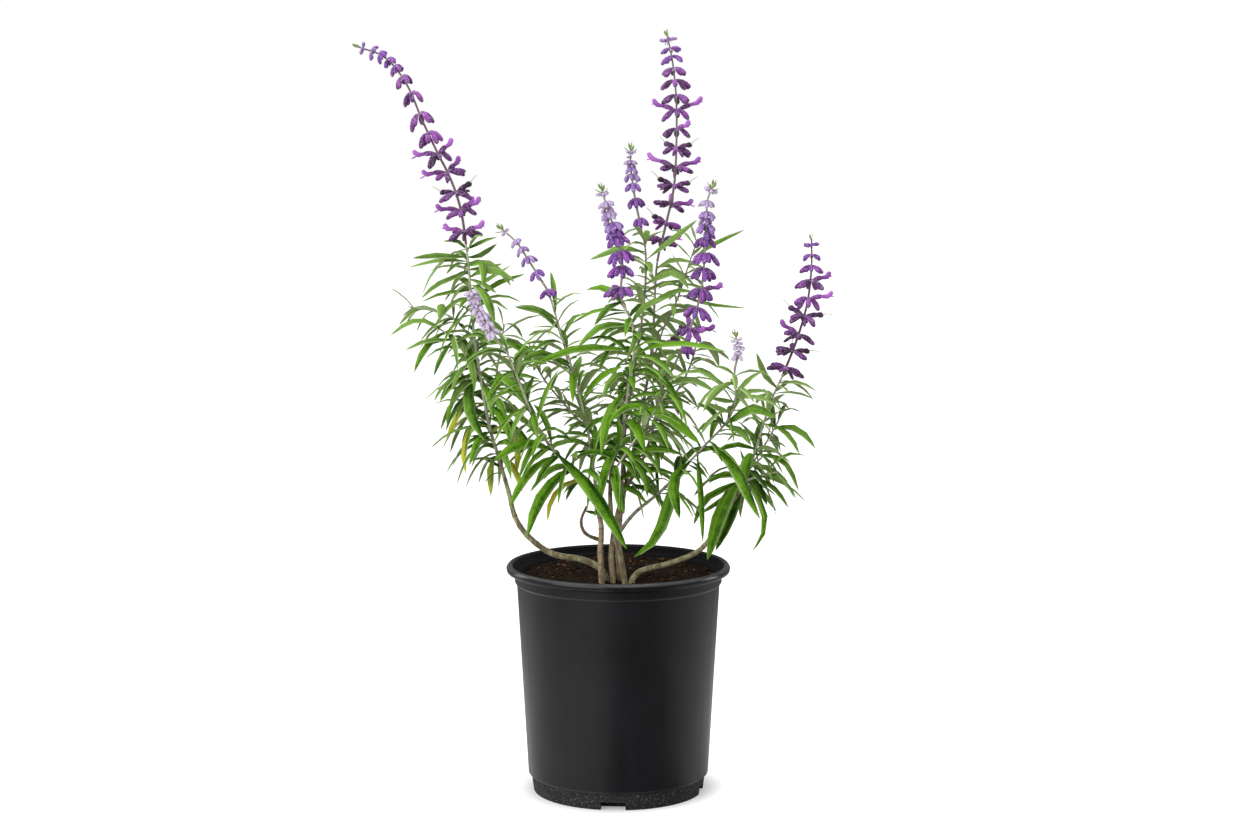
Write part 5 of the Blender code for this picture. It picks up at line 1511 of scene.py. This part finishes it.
def calyx_look(sage):
    """Velvet that is pale lilac while young and violet once ripe."""
    look, nodes, shader = new_look("sage calyx", Specular_IOR_Level=0.15, Sheen_Weight=0.35,
                                   Sheen_Roughness=0.4, Sheen_Tint=(0.8, 0.6, 0.95, 1))
    tone, aged, woolly, along = nodes.attributes("tone", "aged", "woolly", "along")
    fuzz, patch = nodes.grain(1000, 3), nodes.grain(420, 3)
    ripe = nodes.mix(nodes.between(tone + (patch - 0.5) * 1.5, 0.0, 1.0), sage.calyx_deep, sage.calyx_violet)
    wool = nodes.between(woolly + (fuzz - 0.5) * 0.4, 0.35, 1.05)
    colour = nodes.coats(ripe, (nodes.between(along, 0.6, 1.0) * 0.65, sage.calyx_deep),
                         (nodes.between(woolly, 0.05, 0.5) * 0.75, sage.calyx_blue),
                         (nodes.between(along, 0.35, 0.0) * 0.5, sage.calyx_young), (wool, sage.calyx_young),
                         (aged, sage.dry_flower), (nodes.between(fuzz, 0.52, 0.66) * 0.5, sage.calyx_young))
    feed(nodes, shader, Base_Color=colour, Roughness=fuzz * 0.2 + 0.7, Normal=nodes.bump(fuzz, 0.7, 0.0005))
    return look


def corolla_look(sage):
    """Velvety magenta-purple, lighter towards the lips and near black once dry."""
    look, nodes, shader = new_look("sage corolla", Specular_IOR_Level=0.25, Sheen_Weight=0.4,
                                   Sheen_Roughness=0.45, Sheen_Tint=(0.95, 0.7, 1.0, 1))
    tone, aged, along = nodes.attributes("tone", "aged", "along")
    fuzz, patch = nodes.grain(1300, 3), nodes.grain(200, 2)
    fresh = nodes.mix(nodes.between(tone * 0.5 + along * 0.6 + (patch - 0.5) * 0.4, 0.1, 1.0),
                      sage.corolla_deep, sage.corolla_bright)
    feed(nodes, shader, Base_Color=nodes.mix(aged, fresh, sage.dry_flower), Roughness=fuzz * 0.2 + 0.6,
         Normal=nodes.bump(fuzz, 0.5, 0.0004))
    return look


def plastic_look(sage):
    """Streaky black plastic: matt and scuffed at its foot, glossier on its rim, with a lighter line along the
    foot's step, painted highlights along the collar's step and the rim's lip, and painted shade that turns it
    black inside.
    """
    look, nodes, shader = new_look("pot plastic", Specular_IOR_Level=0.22)
    x, y, height = nodes.split(nodes.place())
    radius = from_axis(x, y)
    streak, fine, cloud = nodes.grain(90, 4, (1, 1, 0.06)), nodes.grain(900, 3), nodes.grain(22, 3)
    foot = nodes.past(height, *FOOT_WEAR)
    # Lighter lines along the two steps; the one along the collar's step is a painted highlight.
    foot_step, collar_highlight = (nodes.past(abs(height - middle * MM), wide, STEP_CORE)
                              for middle, wide in (FOOT_STEP, COLLAR_HIGHLIGHT))
    rim = nodes.past(height, *RIM_GLOSS)
    ledge = nodes.past(height, *LEDGE_RISE) * (LEDGE_WIDTH * MM)
    # Painted shade: inside the wall, above the collar's step, the plastic is turned near black and made
    # rougher.
    inner = nodes.past(radius - ledge, *INNER_RADIUS) * nodes.past(height, *INNER_RISE)
    # Painted highlight: streaks of the scuff colour along the edge of the rim's lip.
    lip = nodes.past(height, *RIM_HIGHLIGHT_RISE) * nodes.past(radius, *RIM_HIGHLIGHT_RADIUS) * nodes.grain(45, 3)
    scuff = nodes.between(nodes.grain(1000, 4, (1, 1, 0.7)), 0.52, 0.68) * (foot * 0.7 + 0.02)
    # Scuffs and lighter wear at the foot, with the painted highlights of the collar's step and the rim's lip,
    # all in the scuff colour.
    wear_and_highlights = scuff * 0.6 + foot_step * 0.16 + foot * 0.04 + collar_highlight * (1 - inner) * 0.12 + lip * 0.5
    colour = nodes.coats(nodes.mix(nodes.between(cloud + streak * 0.4, 0.45, 0.85), sage.plastic_dark,
                                   sage.plastic_grey), (wear_and_highlights, sage.scuff_and_highlight), (inner, BLACK))
    rough = (streak - 0.5) * 0.24 + (cloud - 0.5) * 0.1 + 0.38
    rough = rough + foot * 0.5 - rim * (1 - inner) * 0.2 + inner * 0.4
    relief = streak * 0.25 + fine * 0.12 + scuff * 0.6
    feed(nodes, shader, Base_Color=colour, Roughness=rough, Normal=nodes.bump(relief, 0.25, 0.0004))
    return look


def soil_look(sage):
    """Damp dark mix, with its crumbs brown, orange or pale by their tint."""
    look, nodes, shader = new_look("potting mix", Specular_IOR_Level=0.12)
    tint, = nodes.attributes("tint")
    fine, patch = nodes.grain(700, 4), nodes.grain(110, 3)
    colour = nodes.coats(nodes.mix(nodes.between(fine, 0.35, 0.7), sage.soil_dark, sage.soil_brown),
                         (nodes.between(tint + (patch - 0.5) * 0.2, 0.45, 0.75), sage.soil_bark),
                         (nodes.between(tint, 0.85, 0.95), sage.soil_pale))
    feed(nodes, shader, Base_Color=colour, Roughness=fine * 0.2 + 0.75, Normal=nodes.bump(fine, 0.8, 0.001))
    return look


def tree_with(name, inputs):
    """A Geometry Nodes tree with named inputs: its builder, the inputs' values and their identifiers."""
    tree = bpy.data.node_groups.new(name, "GeometryNodeTree")
    tree.interface.new_socket("Geometry", in_out="INPUT", socket_type="NodeSocketGeometry")
    keys = {}
    for title, kind, default in inputs:
        item = tree.interface.new_socket(title, in_out="INPUT", socket_type=f"NodeSocket{kind}")
        if default is not None:
            item.default_value = default
        keys[title] = item.identifier
    tree.interface.new_socket("Geometry", in_out="OUTPUT", socket_type="NodeSocketGeometry")
    nodes = Nodes(tree)
    source = nodes.add("NodeGroupInput")
    return nodes, source, keys


def close_tree(nodes, geometry, look):
    """Ends a tree with real geometry instead of instances, in its material if it has only one."""
    real = nodes.add("GeometryNodeRealizeInstances", None, {"Geometry": geometry})
    if look:
        real = nodes.add("GeometryNodeSetMaterial", None, {"Geometry": real, "Material": look})
    nodes.add("NodeGroupOutput", None, {"Geometry": real})
    return nodes.tree


def named(nodes, title, kind="FLOAT"):
    return nodes.add("GeometryNodeInputNamedAttribute", {"data_type": kind}, {"Name": title})


def stored(nodes, geometry, title, value, domain="POINT"):
    return nodes.add("GeometryNodeStoreNamedAttribute", {"data_type": "FLOAT", "domain": domain},
                     {"Geometry": geometry, "Name": title, "Value": value})


def circle(nodes, sides):
    return nodes.add("GeometryNodeCurvePrimitiveCircle", None, {"Resolution": sides, "Radius": 1.0})


def vector_chance(nodes, low, high, seed):
    return nodes.add("FunctionNodeRandomValue", {"data_type": "FLOAT_VECTOR"}, {0: low, 1: high, 8: seed})


BLADE_SIDES = 8
RIPPLE_GRAIN = 130.0
CRUMB_RADIUS = 1.0
CRUMB_JOLT = 1.1
# Sorts of crumbs: their share, least and greatest scale, and least and greatest tint
CRUMB_SORTS = (
    (0.72, (0.5, 0.5, 0.4), (1.7, 1.7, 1.2), 0.0, 0.4),
    (0.22, (0.5, 0.4, 0.3), (3.2, 1.1, 0.7), 0.3, 0.8),
    (0.02, (0.4, 0.4, 0.3), (1.1, 0.9, 0.6), 0.86, 1.0),
    (0.006, (4.0, 0.3, 0.25), (9.0, 0.5, 0.35), 0.8, 0.95),
)


@functools.lru_cache(maxsize=1)
def growth_tree():
    """Clothes strands: blades get a thin folded section, stems and flowers a round one."""
    nodes, source, keys = tree_with("sage growth", [
        ("Blade thickness", "Float", 0.12),
        ("Blade fold", "Float", 0.2),
        ("Blade arch", "Float", 0.36),
        ("Blade ripple", "Float", 0.0012),
        ("Stem sides", "Int", 10),
        ("Flower sides", "Int", 6),
        ("Leaf", "Material", None),
        ("Stem", "Material", None),
        ("Calyx", "Material", None),
        ("Corolla", "Material", None),
    ])
    up, wide, _ = nodes.split(nodes.add("GeometryNodeInputPosition"))
    section = stored(nodes, circle(nodes, BLADE_SIDES), "edge", wide)
    section = stored(nodes, section, "under", 0.5 - up * 0.7)
    fold = abs(wide) * source.out("Blade fold") - wide * wide * source.out("Blade arch")
    high = up * source.out("Blade thickness") + fold
    section = nodes.add("GeometryNodeSetPosition", None, {
        "Geometry": section, "Position": nodes.add("ShaderNodeCombineXYZ", None, {"X": high, "Y": wide})})
    stalk, finger = circle(nodes, source.out("Stem sides")), circle(nodes, source.out("Flower sides"))
    kind, facing = named(nodes, "kind"), named(nodes, "facing", "FLOAT_VECTOR")
    skins = []
    for number, profile, look in ((BLADE, section, "Leaf"), (WOOD, stalk, "Stem"), (CALYX, finger, "Calyx"),
                                  (COROLLA, finger, "Corolla"), (LIP, section, "Corolla")):
        chosen = nodes.add("FunctionNodeCompare", {"data_type": "FLOAT", "operation": "EQUAL"},
                           {"A": kind, "B": float(number), "Epsilon": 0.1})
        strand = nodes.add("GeometryNodeSeparateGeometry", {"domain": "POINT"},
                           {"Geometry": source.out("Geometry"), "Selection": chosen})
        curve = nodes.add("GeometryNodeMeshToCurve", None, {"Mesh": strand})
        if profile is section:
            curve = nodes.add("GeometryNodeSetCurveNormal", {"mode": "FREE"},
                              {"Curve": curve, "Normal": facing})
        skin = nodes.add("GeometryNodeCurveToMesh", None,
                         {"Curve": curve, "Profile Curve": profile, "Scale": named(nodes, "breadth"),
                          "Fill Caps": True})
        if number == BLADE:
            wave = nodes.add("ShaderNodeTexNoise", None, {"Scale": RIPPLE_GRAIN, "Detail": 1.0})
            edge = named(nodes, "edge")
            lift = (wave - 0.5) * edge * edge * source.out("Blade ripple")
            push = nodes.add("ShaderNodeVectorMath", {"operation": "SCALE"}, {0: facing, "Scale": lift})
            skin = nodes.add("GeometryNodeSetPosition", None, {"Geometry": skin, "Offset": push})
        skins.append(nodes.add("GeometryNodeSetMaterial", None,
                               {"Geometry": skin, "Material": source.out(look)}))
    joined = nodes.add("GeometryNodeJoinGeometry", None, {"Geometry": skins})
    return close_tree(nodes, joined, None), keys


@functools.lru_cache(maxsize=1)
def crumb_tree():
    """Strews the soil's upper face with crumbs, chips of bark and pale bits."""
    nodes, source, keys = tree_with("potting crumbs", [
        ("Crumbs to a square metre", "Float", 90000.0),
        ("Seed", "Int", 5),
        ("Soil", "Material", None),
    ])
    normal = nodes.split(nodes.add("GeometryNodeInputNormal"))[2]
    facing_up = nodes.add("FunctionNodeCompare", {"data_type": "FLOAT", "operation": "GREATER_THAN"},
                          {"A": normal, "B": 0.6})
    ball = nodes.add("GeometryNodeMeshIcoSphere", None, {"Radius": CRUMB_RADIUS * MM, "Subdivisions": 1})
    rough = nodes.add("ShaderNodeTexNoise", None, {"Scale": 900.0}, out="Color")
    jolt = nodes.add("ShaderNodeVectorMath", {"operation": "MULTIPLY_ADD"},
                     {0: rough, 1: (CRUMB_JOLT * MM,) * 3, 2: (-CRUMB_JOLT * MM / 2,) * 3})
    ball = nodes.add("GeometryNodeSetPosition", None, {"Geometry": ball, "Offset": jolt})
    strewn = [source.out("Geometry")]
    for number, (share, least, greatest, low_tint, high_tint) in enumerate(CRUMB_SORTS):
        seed = source.out("Seed") + number * 7
        points = nodes.add("GeometryNodeDistributePointsOnFaces", {"distribute_method": "RANDOM"},
                           {"Mesh": source.out("Geometry"), "Selection": facing_up, "Seed": seed,
                            "Density": source.out("Crumbs to a square metre") * share})
        turn = nodes.add("FunctionNodeEulerToRotation", None,
                         {0: vector_chance(nodes, (-0.5, -0.5, 0.0), (0.5, 0.5, math.tau), seed + 1)})
        chips = nodes.add("GeometryNodeInstanceOnPoints", None,
                          {"Points": points, "Instance": ball, "Rotation": turn,
                           "Scale": vector_chance(nodes, least, greatest, seed)})
        tint = nodes.add("FunctionNodeRandomValue", {"data_type": "FLOAT"},
                         {2: low_tint, 3: high_tint, 8: seed + 2}, out=1)
        strewn.append(stored(nodes, chips, "tint", tint, "INSTANCE"))
    joined = nodes.add("GeometryNodeJoinGeometry", None, {"Geometry": strewn})
    return close_tree(nodes, joined, source.out("Soil")), keys


# Edges sharper than these, in degrees, stay sharp on a piece: on the soil before and after its crumbs
PLANT_SHARP = 52
POT_SHARP = 32
SOIL_SHARP = (60, 40)
# How wide the pot's edges are rounded off, and past which angle in degrees
ROUND_OFF = 0.5
ROUND_PAST = 24


def new_thing(name, mesh):
    thing = bpy.data.objects.new(name, mesh)
    bpy.context.scene.collection.objects.link(thing)
    return thing


def modified(thing, kind, **settings):
    """Applies one modifier with its settings, so that plain mesh is left."""
    modifier = thing.modifiers.new(kind, kind)
    for title, value in settings.items():
        setattr(modifier, title, value)
    return baked(thing)


def baked(thing):
    """Turns an object's modifiers into plain mesh."""
    graph = bpy.context.evaluated_depsgraph_get()
    thing.data = bpy.data.meshes.new_from_object(thing.evaluated_get(graph), preserve_all_data_layers=True,
                                                 depsgraph=graph)
    thing.modifiers.clear()
    return thing


def through_tree(thing, tree, keys, values):
    """Runs a Geometry Nodes tree over an object and keeps the plain mesh."""
    modifier = thing.modifiers.new("tree", "NODES")
    modifier.node_group = tree
    for title, value in values.items():
        modifier[keys[title]] = value
    thing.data.update()
    return baked(thing)


def tidied(thing, sharp):
    """Turns faces outward and shades them smooth, up to an angle in degrees."""
    build = bmesh.new()
    build.from_mesh(thing.data)
    bmesh.ops.recalc_face_normals(build, faces=build.faces)
    build.to_mesh(thing.data)
    build.free()
    thing.data.shade_smooth()
    thing.data.set_sharp_from_angle(angle=math.radians(sharp))
    return thing


def placed(thing, node):
    """Hands a finished piece to the frame: what it stands for and what it rides on."""
    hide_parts(node)
    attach(thing, "root")


def grown_piece(owner, strands):
    """Clothes the strands of a stem or spike and hands it over."""
    sage = bpy.context.scene.sage
    tree, keys = growth_tree()
    thing = new_thing(f"{owner}_grown", strand_mesh(f"{owner}_grown", strands))
    through_tree(thing, tree, keys, {"Blade thickness": sage.blade_thickness, "Blade fold": sage.blade_fold,
                                     "Blade arch": sage.blade_arch, **plant_looks()})
    placed(tidied(thing, PLANT_SHARP), owner)


@functools.lru_cache(maxsize=1)
def plant_looks():
    sage = bpy.context.scene.sage
    return {"Leaf": leaf_look(sage), "Stem": stem_look(sage), "Calyx": calyx_look(sage),
            "Corolla": corolla_look(sage)}


def turned_piece(name, profile, steps):
    """A closed mesh turned about Z from a profile of (radius, height)."""
    mesh = bpy.data.meshes.new(name)
    points = [(radius * MM, 0, height * MM) for radius, height in profile]
    mesh.from_pydata(points, [(k, k + 1) for k in range(len(points) - 1)], [])
    return modified(new_thing(name, mesh), "SCREW", steps=steps, render_steps=steps, use_merge_vertices=True,
                    merge_threshold=SCREW_WELD)


def finished(thing, look):
    """Leaves a piece only its own material."""
    thing.data.materials.clear()
    thing.data.materials.append(look)


# Softboxes: place, width, height and power. They draw the soft bands on the pot's side.
SOFTBOXES = (
    ("left_box", (-1.5, -1.65, 0.8), 2.2, 1.6, 50),
    ("left_edge_box", (-1.6, 1.0, 0.5), 0.5, 1.2, 6),
    ("top_box", (0.1, 0.15, 1.9), 1.0, 0.2, 12),
    ("right_edge_box", (1.75, 0.6, 0.5), 0.7, 1.2, 12),
)

# Broad lights: where they come from, how soft they are in degrees, and power
BROAD_LIGHTS = (
    ("overhead", (-0.6, -0.9, 2.2), 80, 2.03),
    ("from_the_right", (1.5, -1.0, 1.8), 70, 0.6),
)
LIGHT_TARGET = Vector((0, 0, 0.25))
# Directions from the pot, in radians from the camera's, between which the mirrored floor grows bright
LEFT_GLEAM = (-0.08, -0.26)
RIGHT_GLEAM = (0.7, 1.3)
# Distances from the pot's axis, in metres, between which the floor's glow grows to its full strength
SHADE_REACH = (0.06, 0.084)
# The gleams on the pot fade with the mirrored floor's distance, from the first strength to the second
GLEAM_REACH = (0.12, 0.8)
GLEAM_FADE = (1.0, 0.0)
# The plant stands so far left of the picture's middle, as a share of the picture's width
LENS_SHIFT = 5.7 / 1248


def hang_light(name, kind, place, power):
    """A light at a place, turned to the middle of the plant."""
    light = bpy.data.lights.new(name, kind)
    light.energy = power
    lamp = new_thing(name, light)
    lamp.location = place
    lamp.rotation_euler = (LIGHT_TARGET - Vector(place)).to_track_quat("-Z", "Y").to_euler()
    return light


def hang_lights():
    for name, place, wide, tall, power in SOFTBOXES:
        light = hang_light(name, "AREA", place, power)
        light.shape = "RECTANGLE"
        light.size, light.size_y = wide, tall
    for name, place, softness, power in BROAD_LIGHTS:
        hang_light(name, "SUN", place, power).angle = math.radians(softness)


def lay_floor(sage):
    """A pale floor that looks white, and that the pot mirrors brightly at its left and right alone."""
    bpy.ops.mesh.primitive_plane_add(size=12)
    floor = bpy.context.object
    floor.name = "studio_floor"
    look, nodes, shader = new_look("studio floor", Roughness=0.6, Specular_IOR_Level=0.2,
                                   Emission_Strength=sage.floor_glow)
    paths = nodes.add("ShaderNodeLightPath")
    x, y, _ = nodes.split(nodes.place())
    away = from_axis(x, y)
    # The floor glows to the camera alone, and less near the pot's foot, which paints a contact shadow over
    # the real one. To glossy rays it glows at the left and right, painted reflections on the pot, and is
    # darker in front, painted shade in its reflection.
    seen = paths.out("Is Camera Ray") * nodes.between(away, *SHADE_REACH, sage.contact_glow)
    mirrored = paths.out("Is Glossy Ray")
    compass = x.math("ARCTAN2", y * -1)
    fade = nodes.between(away, *GLEAM_REACH, *GLEAM_FADE)
    left, right = (nodes.between(compass, *ends) * fade for ends in (LEFT_GLEAM, RIGHT_GLEAM))
    gleam = mirrored * (left + right * sage.right_gleam) * sage.left_gleam
    gloom = mirrored * (1 - left) * (1 - right) * sage.front_gloom
    feed(nodes, shader, Emission_Color=nodes.mix(seen + gleam, BLACK, WHITE),
         Base_Color=nodes.mix(gloom, sage.floor_colour, BLACK))
    floor.data.materials.append(look)


def light_room(sage):
    """A white background to the camera, and dim light from all round to everything else."""
    world = bpy.data.worlds.new("studio")
    world.use_nodes = True
    nodes = Nodes(world.node_tree)
    sky = world.node_tree.nodes["Background"].inputs
    sky["Color"].default_value = (*WHITE, 1)
    seen = nodes.add("ShaderNodeLightPath", out="Is Camera Ray")
    world.node_tree.links.new((seen * (1 - sage.room_light) + sage.room_light).socket, sky["Strength"])
    bpy.context.scene.world = world


def set_camera(sage):
    lens = bpy.data.cameras.new("camera")
    lens.lens = sage.focal_length
    lens.sensor_width = 36
    lens.shift_x = LENS_SHIFT
    camera = new_thing("camera", lens)
    camera.location = (0, -sage.camera_distance, sage.camera_height)
    camera.rotation_euler = (math.pi / 2 - sage.camera_pitch, 0, 0)
    bpy.context.scene.camera = camera


def rgb(red, green, blue):
    """A display colour, 0 to 255, as the linear colour that Blender works in."""
    return tuple((c / 12.92 if c <= 0.04045 else ((c + 0.055) / 1.055) ** 2.4)
                 for c in (red / 255, green / 255, blue / 255))


def colour_prop(name, description, *display):
    return FloatVectorProperty(name=name, description=description, subtype="COLOR", size=3, min=0, max=1,
                               default=rgb(*display))


def number_prop(name, description, default, low, high, **more):
    """A property between two limits, whole where its default is."""
    kind = IntProperty if isinstance(default, int) else FloatProperty
    return kind(name=name, description=description, default=default, min=low, max=high, **more)


def share_prop(name, description, default, low=0.0, high=1.0):
    return number_prop(name, description, default, low, high, subtype="FACTOR")


class SageSettings(PropertyGroup):
    """Colours and sizes of the plant, the pot and the stage."""

    # Also the colour of the painted shade towards each leaf's root and on the darker side of its midrib.
    leaf_deep_and_shade: colour_prop("Deep leaf", "Darkest green of a leaf's upper face", 20, 60, 0)
    leaf_bright: colour_prop("Bright leaf", "Lightest green of a leaf's upper face", 88, 133, 20)
    leaf_grey: colour_prop("Grey leaf", "Grey-green of a leaf with woolly hairs", 112, 141, 74)
    leaf_under: colour_prop("Leaf underside", "Pale woolly green of undersides and edges", 160, 178, 122)
    leaf_rib: colour_prop("Midrib", "Colour of a leaf's midrib", 142, 174, 86)
    leaf_aged: colour_prop("Yellow leaf", "Colour of a leaf about to drop", 164, 162, 44)
    stem_woolly: colour_prop("Young stem", "Grey-green of a young woolly stem", 172, 172, 152)
    axis_purple: colour_prop("Spike axis", "Purple-grey of a flower spike's axis", 88, 56, 84)
    bark_pale: colour_prop("Pale bark", "Ridges of the bark near the soil", 150, 130, 104)
    bark_olive: colour_prop("Olive bark", "Bark of the greener stems near the soil", 142, 143, 104)
    bark_dark: colour_prop("Dark bark", "Furrows and rings of the bark", 92, 76, 52)
    calyx_deep: colour_prop("Deep calyx", "Darkest violet of a calyx", 66, 28, 72)
    calyx_violet: colour_prop("Calyx", "Violet of a ripe calyx", 140, 68, 154)
    calyx_blue: colour_prop("Half-ripe calyx", "Bluer violet of a calyx with some wool left", 112, 62, 156)
    calyx_young: colour_prop("Young calyx", "Pale lilac of a young calyx and of its hairs", 182, 168, 190)
    corolla_deep: colour_prop("Corolla tube", "Magenta-purple of a corolla's tube", 112, 52, 132)
    corolla_bright: colour_prop("Corolla lip", "Lighter purple of a corolla's lips", 166, 98, 186)
    dry_flower: colour_prop("Withered flower", "Near black of a withered flower", 40, 22, 36)
    plastic_dark: colour_prop("Pot", "Charcoal of the pot", 10, 11, 12)
    plastic_grey: colour_prop("Pot streaks", "Lighter streaks in the pot's plastic", 19, 19, 22)
    # Also the colour of the painted highlights along the collar's step and the lip of the rim.
    scuff_and_highlight: colour_prop("Scuffs", "Pale scuffs on the foot of the pot", 108, 108, 110)
    soil_dark: colour_prop("Damp soil", "Darkest brown of the potting mix", 10, 7, 4)
    soil_brown: colour_prop("Soil", "Middle brown of the potting mix", 50, 34, 18)
    soil_bark: colour_prop("Bark chips", "Orange-brown of the bark in the mix", 126, 82, 38)
    soil_pale: colour_prop("Pale bits", "Pale bits in the mix", 196, 180, 156)
    floor_colour: colour_prop("Floor", "Pale floor", 192, 192, 192)
    floor_glow: number_prop("Floor glow", "How much whiter the lit floor looks", 0.7, 0.0, 2.0)
    contact_glow: share_prop("Contact glow", "Share of the floor's glow under the pot", 0.42)
    left_gleam: share_prop("Left gleam", "How bright the pot mirrors the floor on the left", 0.5)
    right_gleam: share_prop("Right gleam", "Gleam on the right, as a share of that on the left", 0.75)
    front_gloom: share_prop("Front gloom", "How dim the pot mirrors the floor in front", 0.75)
    blade_thickness: share_prop("Blade thickness", "Leaf thickness as a share of half its width", 0.12, 0.03,
                                0.5)
    blade_fold: share_prop("Blade fold", "How deep a midrib lies", 0.3)
    blade_arch: share_prop("Blade arch", "How far a leaf's edges bend down", 0.7, 0.0, 1.5)
    pot_steps: number_prop("Pot steps", "Sides of the turned pot", 144, 32, 256)
    soil_rings: number_prop("Soil rings", "Rings on the soil's surface", 34, 8, 80)
    room_light: share_prop("Room light", "Strength of the light from all round", 0.24)
    focal_length: number_prop("Focal length", "Lens of the camera", 79.6, 20, 200, unit="CAMERA")
    camera_distance: number_prop("Camera distance", "From the pot's axis to the camera", 2.0, 0.5, 5,
                                 unit="LENGTH")
    camera_height: number_prop("Camera height", "Height of the camera above the floor", 0.547, 0, 3,
                               unit="LENGTH")
    camera_pitch: number_prop("Camera pitch", "How far the camera looks down", math.radians(7.63), 0, 1.5,
                              subtype="ANGLE")


class SAGE_OT_mould_pot(Operator):
    """Mould the nursery pot"""

    bl_idname = "sage.mould_pot"
    bl_label = "Mould pot"

    def execute(self, context):
        sage = context.scene.sage
        pot = turned_piece("moulded_pot", pot_profile(), sage.pot_steps)
        modified(pot, "BEVEL", width=ROUND_OFF * MM, segments=2, limit_method="ANGLE",
                 angle_limit=math.radians(ROUND_PAST))
        for compass in DRAIN_COMPASS:
            angle = math.radians(compass)
            bpy.ops.mesh.primitive_cube_add(size=1)
            cutter = context.object
            cutter.scale = Vector((2 * DRAIN_REACH, DRAIN_WIDTH, 2 * DRAIN_HEIGHT)) * MM
            cutter.rotation_euler = (0, 0, angle)
            cutter.location = turned(EAST, NORTH, angle) * (FOOT_RADIUS + 1) * MM
            modified(pot, "BOOLEAN", operation="DIFFERENCE", object=cutter, solver="EXACT")
            bpy.data.objects.remove(cutter)
        finished(pot, plastic_look(sage))
        placed(tidied(pot, POT_SHARP), "nursery_pot")
        return {"FINISHED"}


class SAGE_OT_fill_soil(Operator):
    """Fill the pot with potting mix"""

    bl_idname = "sage.fill_soil"
    bl_label = "Fill soil"

    def execute(self, context):
        sage = context.scene.sage
        shares = [(k + 1) / (sage.soil_rings + 1) for k in range(sage.soil_rings)]
        soil = turned_piece("loose_potting_mix", soil_profile(shares), sage.pot_steps)
        for vert in soil.data.vertices:
            if vert.co.z > (SOIL_MIDDLE - 1) * MM:
                x, y = vert.co.x / MM, vert.co.y / MM
                lump = sum(high * noise.noise(Vector((x, y, layer)) * waves)
                           for layer, high, waves in SOIL_LUMPS)
                vert.co.z += (soil_height(x, y) - SOIL_MIDDLE + lump) * MM
        look = soil_look(sage)
        tidied(soil, SOIL_SHARP[0])
        tree, keys = crumb_tree()
        through_tree(soil, tree, keys, {"Soil": look})
        finished(soil, look)
        placed(tidied(soil, SOIL_SHARP[1]), "potting_soil")
        return {"FINISHED"}


class SAGE_OT_grow_stems(Operator):
    """Grow the leafy stems"""

    bl_idname = "sage.grow_stems"
    bl_label = "Grow stems"

    def execute(self, context):
        for owner in STEMS:
            grown_piece(owner, stem_strands(owner))
        return {"FINISHED"}


class SAGE_OT_grow_spikes(Operator):
    """Grow the flower spikes"""

    bl_idname = "sage.grow_spikes"
    bl_label = "Grow flower spikes"

    def execute(self, context):
        for name, look in SPIKE_LOOKS.items():
            grown_piece(name, spike_strands(name))
        return {"FINISHED"}


class SAGE_OT_set_stage(Operator):
    """Set the floor, the lights and the camera"""

    bl_idname = "sage.set_stage"
    bl_label = "Set stage"

    def execute(self, context):
        sage = context.scene.sage
        lay_floor(sage)
        light_room(sage)
        hang_lights()
        set_camera(sage)
        context.scene.view_settings.view_transform = "Standard"
        return {"FINISHED"}


class SAGE_PT_panel(Panel):
    """The steps and settings of the sage, in the 3D view's sidebar"""

    bl_idname = "SAGE_PT_panel"
    bl_label = "Potted Bush Sage"
    bl_space_type = "VIEW_3D"
    bl_region_type = "UI"
    bl_category = "Sage"

    def draw(self, context):
        for step in STEPS:
            self.layout.operator(step.bl_idname)
        for title in SageSettings.__annotations__:
            self.layout.prop(context.scene.sage, title)


STEPS = (SAGE_OT_mould_pot, SAGE_OT_fill_soil, SAGE_OT_grow_stems, SAGE_OT_grow_spikes, SAGE_OT_set_stage)
CLASSES = (SageSettings, *STEPS, SAGE_PT_panel)


def register():
    for item in CLASSES:
        bpy.utils.register_class(item)
    bpy.types.Scene.sage = PointerProperty(type=SageSettings)


def unregister():
    del bpy.types.Scene.sage
    for item in reversed(CLASSES):
        bpy.utils.unregister_class(item)


def main():
    register()
    bpy.ops.sage.mould_pot()
    bpy.ops.sage.fill_soil()
    bpy.ops.sage.grow_stems()
    bpy.ops.sage.grow_spikes()
    bpy.ops.sage.set_stage()


if __name__ == "__main__":
    main()
